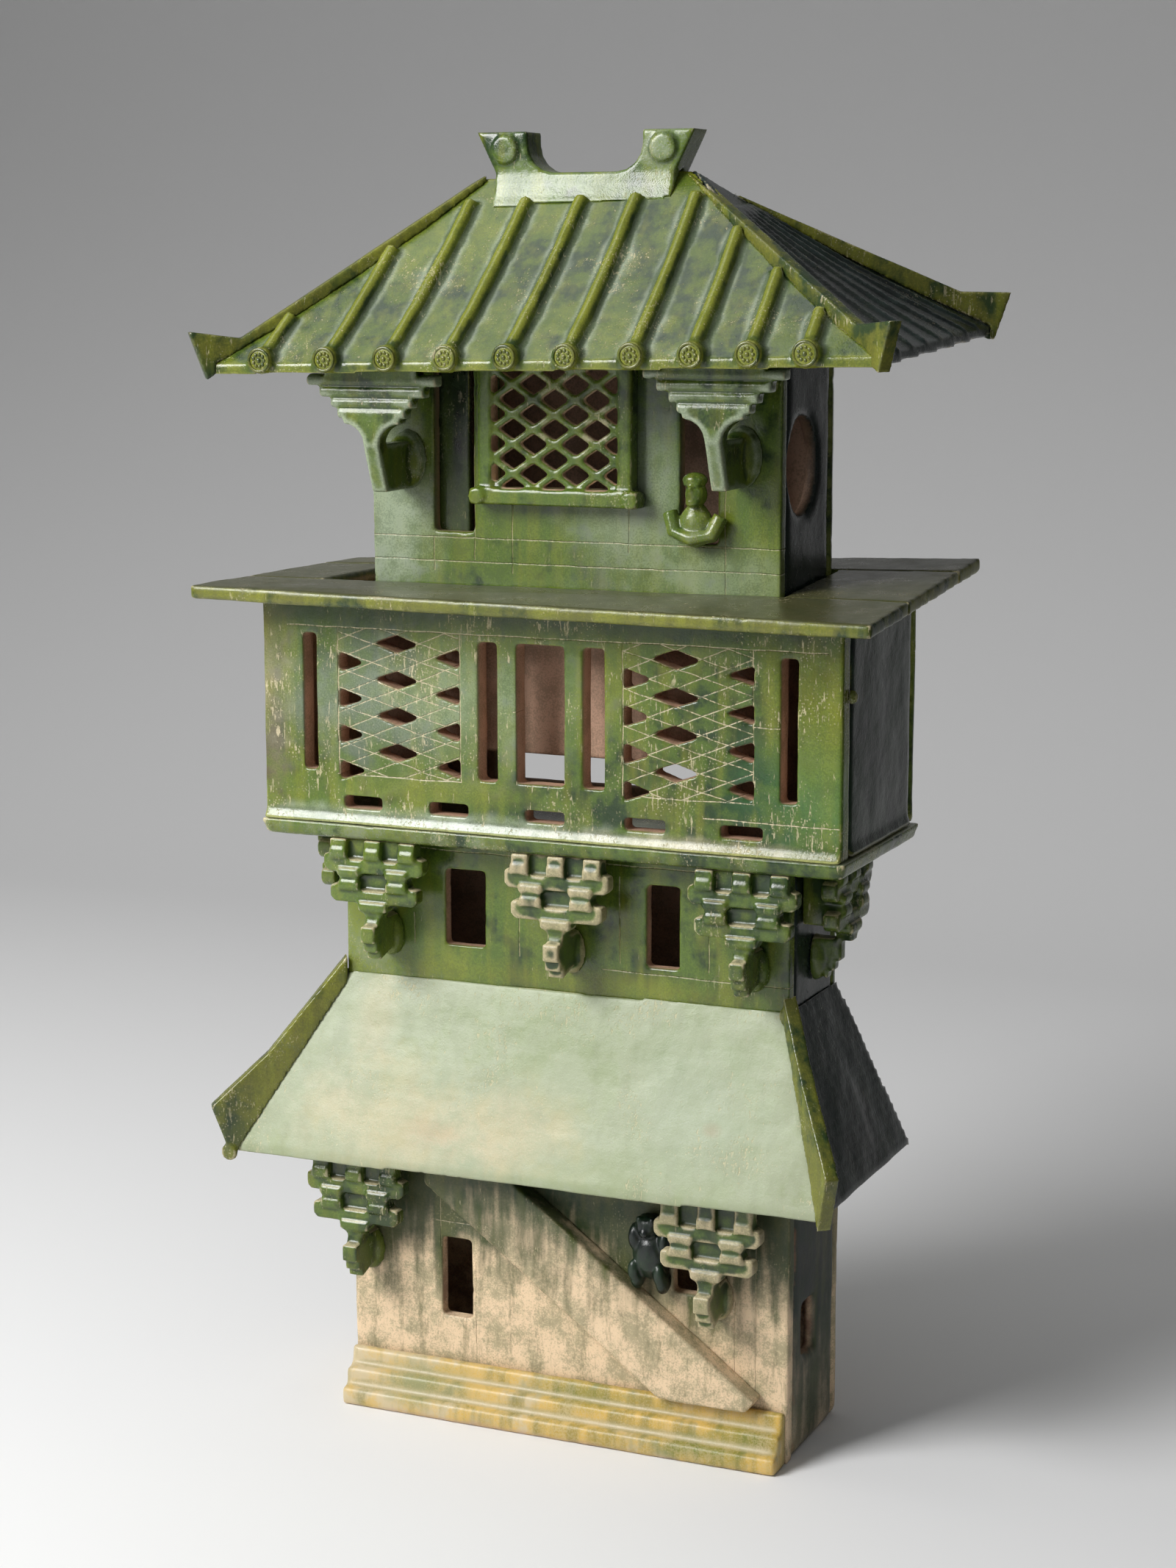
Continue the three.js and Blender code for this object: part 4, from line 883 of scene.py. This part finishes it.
def worked(node, finish, grain, outward=None, lumps=1.0, chips=1.0, softening=None, beads=(), **more):
    """A glazed clay piece in the place of a CAD node; the glaze fades behind its outward face."""
    clay = settings()
    piece = node_copy(node, beads)
    body = piece.modifiers.new("clay body", "REMESH")
    body.mode = "VOXEL"
    body.voxel_size = grain
    facing = Vector(outward) if outward else Vector((0, 0, 1))
    low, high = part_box(node)
    half = [EVERYWHERE] * 3
    for axis in range(2):
        if outward and not outward[axis]:
            half[axis] = (high[axis] - low[axis]) / 2 - clay.glazed_end
    values = {
        "grain": grain,
        "softening": clay.softening if softening is None else softening,
        "lump_size": clay.lump_size,
        "lump_height": clay.lump_height * lumps,
        "chip_depth": clay.chip_depth * chips,
        "seed": float(list(SLOT_OF).index(node)),
        "outward": facing,
        "face_level": face_level(node, facing),
        "glaze_reach": clay.glaze_reach if outward else EVERYWHERE,
        "bare_centre": middle(low, high),
        "bare_half": half,
        "foot_level": low[2],
        "foot_flare": 0.0,
        "foot_height": clay.foot_height,
        "unglazed_foot": -EVERYWHERE,
        "lowest": CAD_BOX[0],
        "highest": CAD_BOX[1],
        "material": glaze(finish),
        **more,
    }
    values = {name.replace("_", " ").title(): value for name, value in values.items()}
    use_tree(piece, clay_tree(), values)
    settle(piece, glaze(finish))
    join_cad(piece, node)
    return piece


OUTWARD = {"front": (0, -1, 0), "back": (0, 1, 0), "left": (-1, 0, 0), "right": (1, 0, 0)}


def settings():
    return bpy.context.scene.watchtower_clay


# Pieces

DONE = {"FINISHED"}


class WATCHTOWER_OT_walls(Operator):
    """Work the wall slabs of three storeys and the door leaf"""

    bl_idname = "watchtower.walls"
    bl_label = "Walls"

    def execute(self, context):
        clay = settings()
        # The last finish of each storey, for its right-hand wall, is a darker copy that paints shade
        finishes = {
            "base": ("base wall", "base wall", "base side"),
            "second": ("second front", "green wall", "shaded wall"),
            "upper": ("upper front", "green wall", "shaded wall"),
        }
        for storey, (front, other, right) in finishes.items():
            for side, outward in OUTWARD.items():
                finish = {"front": front, "right": right}.get(side, other)
                grain = clay.front_grain if side == "front" else clay.wall_grain
                foot = clay.unglazed_foot if storey == "upper" else -EVERYWHERE
                reach = clay.upper_glaze_reach if storey == "upper" else clay.glaze_reach
                worked(
                    f"{storey}_{side}_wall", finish, grain, outward, unglazed_foot=foot, glaze_reach=reach,
                )
        # The door leaf's finish is a darker copy that paints shade
        worked("upper_door_leaf", "door", clay.front_grain)
        return DONE


class WATCHTOWER_OT_plinth_and_ramp(Operator):
    """Work the plinth moulding and the stair ramp"""

    bl_idname = "watchtower.plinth_and_ramp"
    bl_label = "Plinth and ramp"

    def execute(self, context):
        grain = settings().front_grain
        worked("base_plinth_moulding", "plinth", grain, softening=10)
        worked("stair_ramp", "ramp", grain, softening=2)
        return DONE


class WATCHTOWER_OT_brackets(Operator):
    """Work the moulded brackets under the ledges"""

    bl_idname = "watchtower.brackets"
    bl_label = "Brackets"

    def execute(self, context):
        grain = settings().moulding_grain
        for node in SLOT_OF:
            if "bracket" in node:
                finish = "upper bracket" if node.startswith("upper") else "bracket"
                if node in ("base_bracket_right", "second_bracket_middle"):
                    finish = "pale bracket"
                worked(node, finish, grain, lumps=0.4, chips=0.4, softening=2)
        return DONE


class WATCHTOWER_OT_skirt_roof(Operator):
    """Work the slopes of the skirt roof"""

    bl_idname = "watchtower.skirt_roof"
    bl_label = "Skirt roof"

    def execute(self, context):
        clay = settings()
        for side in OUTWARD:
            # The right-hand slope gets the darker copy that paints shade
            finish = "shaded skirt" if side == "right" else "skirt"
            worked(f"skirt_roof_{side}", finish, clay.slab_grain, lumps=1.5, softening=3)
        return DONE


class WATCHTOWER_OT_balcony(Operator):
    """Work the balcony's floor, walls and knobs"""

    bl_idname = "watchtower.balcony"
    bl_label = "Balcony"

    def execute(self, context):
        clay = settings()
        worked("balcony_floor", "lip", clay.slab_grain, softening=2)
        # The right-hand wall gets the darker finish that paints shade
        finishes = {"front": "balcony front", "right": "balcony side"}
        for side, outward in OUTWARD.items():
            grain = clay.lattice_grain if side == "front" else clay.wall_grain
            worked(
                f"balcony_{side}_wall", finishes.get(side, "green wall"), grain, outward, chips=0.3,
                foot_flare=clay.foot_flare,
            )
        for side in ("left", "right"):
            worked(f"balcony_knob_{side}", "fin", clay.moulding_grain, lumps=0.2, chips=0.3)
        return DONE


class WATCHTOWER_OT_rail_slab(Operator):
    """Work the ragged planks of the rail slab"""

    bl_idname = "watchtower.rail_slab"
    bl_label = "Rail slab"

    def execute(self, context):
        for side in OUTWARD:
            worked(f"rail_slab_{side}", "rail", settings().front_grain, chips=1.2, softening=2)
        return DONE


class WATCHTOWER_OT_upper_window(Operator):
    """Work the lattice window of the upper storey"""

    bl_idname = "watchtower.upper_window"
    bl_label = "Lattice window"

    def execute(self, context):
        clay = settings()
        low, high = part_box("upper_lattice_window")
        across, _, up = (Vector(high) - Vector(low)) / 2
        half = (across - clay.window_rim, EVERYWHERE, up - clay.window_bar)
        worked(
            "upper_lattice_window", "window", clay.moulding_grain, OUTWARD["front"], lumps=0.3, chips=0.4,
            softening=2, bare_half=half, glaze_reach=clay.window_glaze_reach,
        )
        return DONE


def features(node, parts):
    """Rounded parts placed from the middle of a node's front foot, in millimetres."""
    low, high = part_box(node)
    seat = Vector((middle(low, high).x, low[1], low[2]))
    return [(seat + Vector(at) * MILLIMETRE, Vector(radii) * MILLIMETRE) for at, radii in parts]


MILLIMETRE = 0.001
# Place and radii of each part of the figure's head and of the crouching animal
FACE = (
    ((0.5, 1.5, 47), (2, 3, 3)), ((-3.5, 3, 50), (3, 2.5, 1.8)), ((4.5, 3, 50), (3, 2.5, 1.8)),
    ((0.5, 3, 42), (3.5, 2.5, 1.5)), ((1, 9, 53), (10, 9, 6)), ((1, 4, 36), (6, 4, 4)),
)
BEAST = (
    ((-7, 4, 62), (3, 3, 4)), ((4, 4, 62), (3, 3, 4)), ((-2, 2, 52), (4, 4, 4)),
    ((-12, 4, 20), (5, 5, 9)), ((10, 4, 18), (5, 5, 9)),
)


class WATCHTOWER_OT_figures(Operator):
    """Model the leaning figure and the crouching animal"""

    bl_idname = "watchtower.figures"
    bl_label = "Figures"

    def execute(self, context):
        grain = settings().figure_grain
        # The crouching animal's finish is a darker copy that paints shade
        for node, finish, parts in (("upper_figure", "figure", FACE), ("stair_bear", "bear", BEAST)):
            worked(
                node, finish, grain, lumps=0.2, chips=0.1, softening=5, beads=features(node, parts),
            )
        return DONE


class WATCHTOWER_OT_main_roof(Operator):
    """Work the slopes of the main roof with their tile ribs"""

    bl_idname = "watchtower.main_roof"
    bl_label = "Main roof"

    def execute(self, context):
        clay = settings()
        for side in OUTWARD:
            # The right-hand slope gets the darker copy that paints shade
            finish = "shaded roof" if side == "right" else "roof"
            grain = clay.tile_grain if side == "front" else clay.slab_grain
            worked(f"roof_{side}", finish, grain, chips=0.5)
        return DONE


class WATCHTOWER_OT_hip_fins(Operator):
    """Work the fins along the hips of both roofs"""

    bl_idname = "watchtower.hip_fins"
    bl_label = "Hip fins"

    def execute(self, context):
        for node in SLOT_OF:
            if "hip_fin" in node:
                worked(node, "fin", settings().moulding_grain, lumps=0.6, chips=0.8, softening=2)
        return DONE


class WATCHTOWER_OT_main_ridge(Operator):
    """Work the main ridge with its upturned ends"""

    bl_idname = "watchtower.main_ridge"
    bl_label = "Main ridge"

    def execute(self, context):
        worked("main_ridge", "ridge", settings().moulding_grain, lumps=0.5, chips=0.6, softening=2)
        return DONE


# Shares of a rosette's radius
PETAL_SEAT = 0.55
PETAL_RADIUS = 0.19
BOSS_RADIUS = 0.24
# How square to its direction, and how near to its level, a disc's face is
FLATNESS = 0.99
LEVEL_TOLERANCE = 1e-4


def rosette_tree():
    """A rim ring, petals and a middle, set on every point, to face along the wanted side."""
    net, given = geometry_tree("rosettes", ("Radius", "Rim", "Relief"), ("Petals",), ("Turn",))

    def circle(resolution, radius):
        return net.node("GeometryNodeCurvePrimitiveCircle", Resolution=resolution, Radius=radius)

    def ball(share):
        return net.node("GeometryNodeMeshIcoSphere", Radius=given["Radius"] * share, Subdivisions=2)

    rim = net.node(
        "GeometryNodeCurveToMesh", Curve=circle(24, given["Radius"]), Profile_Curve=circle(6, given["Rim"]),
    )
    seats = circle(given["Petals"], given["Radius"] * PETAL_SEAT)
    seat_points = net.node("GeometryNodeCurveToPoints", {"mode": "EVALUATED"}, Curve=seats)
    petals = net.node("GeometryNodeInstanceOnPoints", Points=seat_points, Instance=ball(PETAL_RADIUS))
    joined = net.tree.nodes.new("GeometryNodeJoinGeometry")
    for shape in (ball(BOSS_RADIUS), petals, rim):
        net.tree.links.new(shape.socket, joined.inputs[0])
    size = net.node("ShaderNodeCombineXYZ", X=1.0, Y=1.0, Z=given["Relief"])
    flat = net.node("GeometryNodeTransform", Geometry=Sock(net, joined.outputs[0]), Scale=size)
    turned = net.node("GeometryNodeTransform", Geometry=flat, Rotation=given["Turn"])
    glazed = stored(net, turned, "glaze", 1.0)
    points = net.node("GeometryNodeMeshToPoints", Mesh=given["Geometry"])
    placed = net.node("GeometryNodeInstanceOnPoints", Points=points, Instance=glazed)
    return close_tree(net, placed, given["Material"])


def disc_centres(node, outward, level):
    """Middles of a CAD node's flat round faces that look outward at a level, in order of place."""
    shell = welded(node)
    outward = Vector(outward)
    left = {
        face for face in shell.faces
        if face.normal.dot(outward) > FLATNESS
        and abs(face.calc_center_median().dot(outward) - level) < LEVEL_TOLERANCE
    }
    centres = []
    while left:
        group, rest = set(), [left.pop()]
        while rest:
            face = rest.pop()
            group.add(face)
            for near in (other for edge in face.edges for other in edge.link_faces if other in left):
                left.discard(near)
                rest.append(near)
        corners = {tuple(corner.co) for face in group for corner in face.verts}
        across = list(zip(*corners))
        centres.append(middle([*map(min, across)], [*map(max, across)]))
    shell.free()
    return sorted(centres, key=tuple)


class WATCHTOWER_OT_rosettes(Operator):
    """Press rosettes into the discs of the main roof and its ridge"""

    bl_idname = "watchtower.rosettes"
    bl_label = "Rosettes"

    def execute(self, context):
        clay = settings()
        for side, turn in (("front", math.pi / 2), ("back", -math.pi / 2)):
            outward = OUTWARD[side]
            centres = []
            for node in (f"roof_{side}", "main_ridge"):
                centres += disc_centres(node, outward, face_level(node, outward))
            mesh = bpy.data.meshes.new(f"rosettes_{side}")
            mesh.from_pydata(centres, [], [])
            piece = new_object(f"rosettes_{side}", mesh)
            use_tree(piece, rosette_tree(), {
                "Radius": clay.rosette_radius, "Rim": clay.rosette_rim, "Petals": clay.rosette_petals,
                "Relief": clay.rosette_relief, "Turn": (turn, 0.0, 0.0), "Material": glaze("rosette"),
            })
            settle(piece, glaze("rosette"))
            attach(piece, "upper_tower")
        return DONE


class WATCHTOWER_OT_stage(Operator):
    """Set the floor, the lamps and the camera"""

    bl_idname = "watchtower.stage"
    bl_label = "Set the stage"

    def execute(self, context):
        scene = context.scene
        studio = scene.watchtower_studio
        self.set_sweep(studio)
        self.set_sky(scene, studio)
        self.set_lamps(studio)
        self.set_camera(scene, studio)
        scene.view_settings.view_transform = "Standard"
        return DONE

    def set_sky(self, scene, studio):
        """Light from all round, brightest from the side of the lamps."""
        world = bpy.data.worlds.new("studio")
        world.use_nodes = True
        net = Net(world.node_tree)
        direction = net.node("ShaderNodeTexCoord")
        lit = net.ramp(net.vector("DOT_PRODUCT", direction, SKY_TOWARDS), *SKY_FADE)
        background = world.node_tree.nodes["Background"]
        background.inputs[0].default_value = SKY_COLOUR
        net.put(background.inputs[1], (DARK_SKY + (1.0 - DARK_SKY) * lit) * studio.sky)
        scene.world = world

    def set_lamps(self, studio):
        for name, place, power, width, height in LAMPS:
            lamp = bpy.data.lights.new(name, "AREA")
            lamp.energy = getattr(studio, power)
            lamp.shape = "RECTANGLE"
            lamp.size = width
            lamp.size_y = height
            aim = Vector(LAMP_AIM) - Vector(place)
            turn = aim.to_track_quat("-Z", "Y").to_matrix().to_4x4()
            new_object(name, lamp).matrix_world = Matrix.Translation(place) @ turn

    def set_sweep(self, studio):
        """A floor that bends up into a backdrop, pale in front, with painted shade greying it towards the
        top and darkening it to the right.
        """
        half = studio.floor_size / 2
        line = [(-half, 0.0), (studio.sweep_start, 0.0)]
        for step in range(1, SWEEP_STEPS + 1):
            bend = math.pi / 2 * step / SWEEP_STEPS
            line.append((
                studio.sweep_start + studio.sweep_radius * math.sin(bend),
                studio.sweep_radius * (1 - math.cos(bend)),
            ))
        line.append((line[-1][0], half))
        corners = [(x, y, z) for y, z in line for x in (-half, half)]
        faces = [(2 * k, 2 * k + 1, 2 * k + 3, 2 * k + 2) for k in range(len(line) - 1)]
        mesh = bpy.data.meshes.new("studio_sweep")
        mesh.from_pydata(corners, [], faces)
        mesh.shade_smooth()
        shader = Shader("studio sweep")
        place = shader.place()
        x, y, z = (shader.part(place, axis) for axis in range(3))
        back = shader.ramp(y * 0.5 + z, *BACK_FADE)
        tones = (studio.floor_tone, studio.wall_tone, studio.side_tone)
        floor, wall, side = ((tone, tone, tone, 1.0) for tone in tones)
        colours = shader.mix(shader.ramp(x, *SIDE_FADE), shader.mix(back, floor, wall), side)
        shader.put(shader.principled.inputs["Base Color"], colours)
        shader.put(shader.principled.inputs["Roughness"], SWEEP_ROUGHNESS)
        mesh.materials.append(shader.material)
        new_object("studio_sweep", mesh)

    def set_camera(self, scene, studio):
        camera = bpy.data.cameras.new("camera")
        camera.sensor_width = SENSOR_MM
        camera.lens = studio.lens_px * SENSOR_MM / FRAME_HEIGHT_PX
        level = math.cos(studio.pitch)
        back = Vector((math.sin(studio.yaw) * level, -math.cos(studio.yaw) * level, math.sin(studio.pitch)))
        right = Vector((math.cos(studio.yaw), math.sin(studio.yaw), 0))
        turn = Matrix((right, back.cross(right), back)).transposed().to_4x4()
        roll = Matrix.Rotation(studio.roll, 4, "Z")
        scene.camera = new_object("camera", camera)
        scene.camera.matrix_world = Matrix.Translation(studio.stand) @ turn @ roll


class WATCHTOWER_PT_panel(Panel):
    """Lists the steps that make the tower"""

    bl_label = "Watchtower"
    bl_space_type = "VIEW_3D"
    bl_region_type = "UI"
    bl_category = "Watchtower"

    def draw(self, context):
        for operator in STEPS:
            self.layout.operator(operator.bl_idname)


STEPS = (
    WATCHTOWER_OT_stage, WATCHTOWER_OT_walls, WATCHTOWER_OT_plinth_and_ramp, WATCHTOWER_OT_brackets,
    WATCHTOWER_OT_skirt_roof, WATCHTOWER_OT_balcony, WATCHTOWER_OT_rail_slab,
    WATCHTOWER_OT_upper_window, WATCHTOWER_OT_figures, WATCHTOWER_OT_main_roof,
    WATCHTOWER_OT_hip_fins, WATCHTOWER_OT_main_ridge, WATCHTOWER_OT_rosettes,
)
GROUPS = {
    "watchtower_studio": WatchtowerStudio,
    "watchtower_clay": WatchtowerClay,
    "watchtower_colours": WatchtowerColours,
}

CLASSES = (*GROUPS.values(), *STEPS, WATCHTOWER_PT_panel)


def register():
    for cls in CLASSES:
        bpy.utils.register_class(cls)
    for name, group in GROUPS.items():
        setattr(bpy.types.Scene, name, PointerProperty(type=group))


def unregister():
    for name in GROUPS:
        delattr(bpy.types.Scene, name)
    for cls in reversed(CLASSES):
        bpy.utils.unregister_class(cls)


def main():
    register()
    for operator in STEPS:
        getattr(bpy.ops.watchtower, operator.bl_idname.split(".")[1])()
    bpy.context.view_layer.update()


if __name__ == "__main__":
    main()
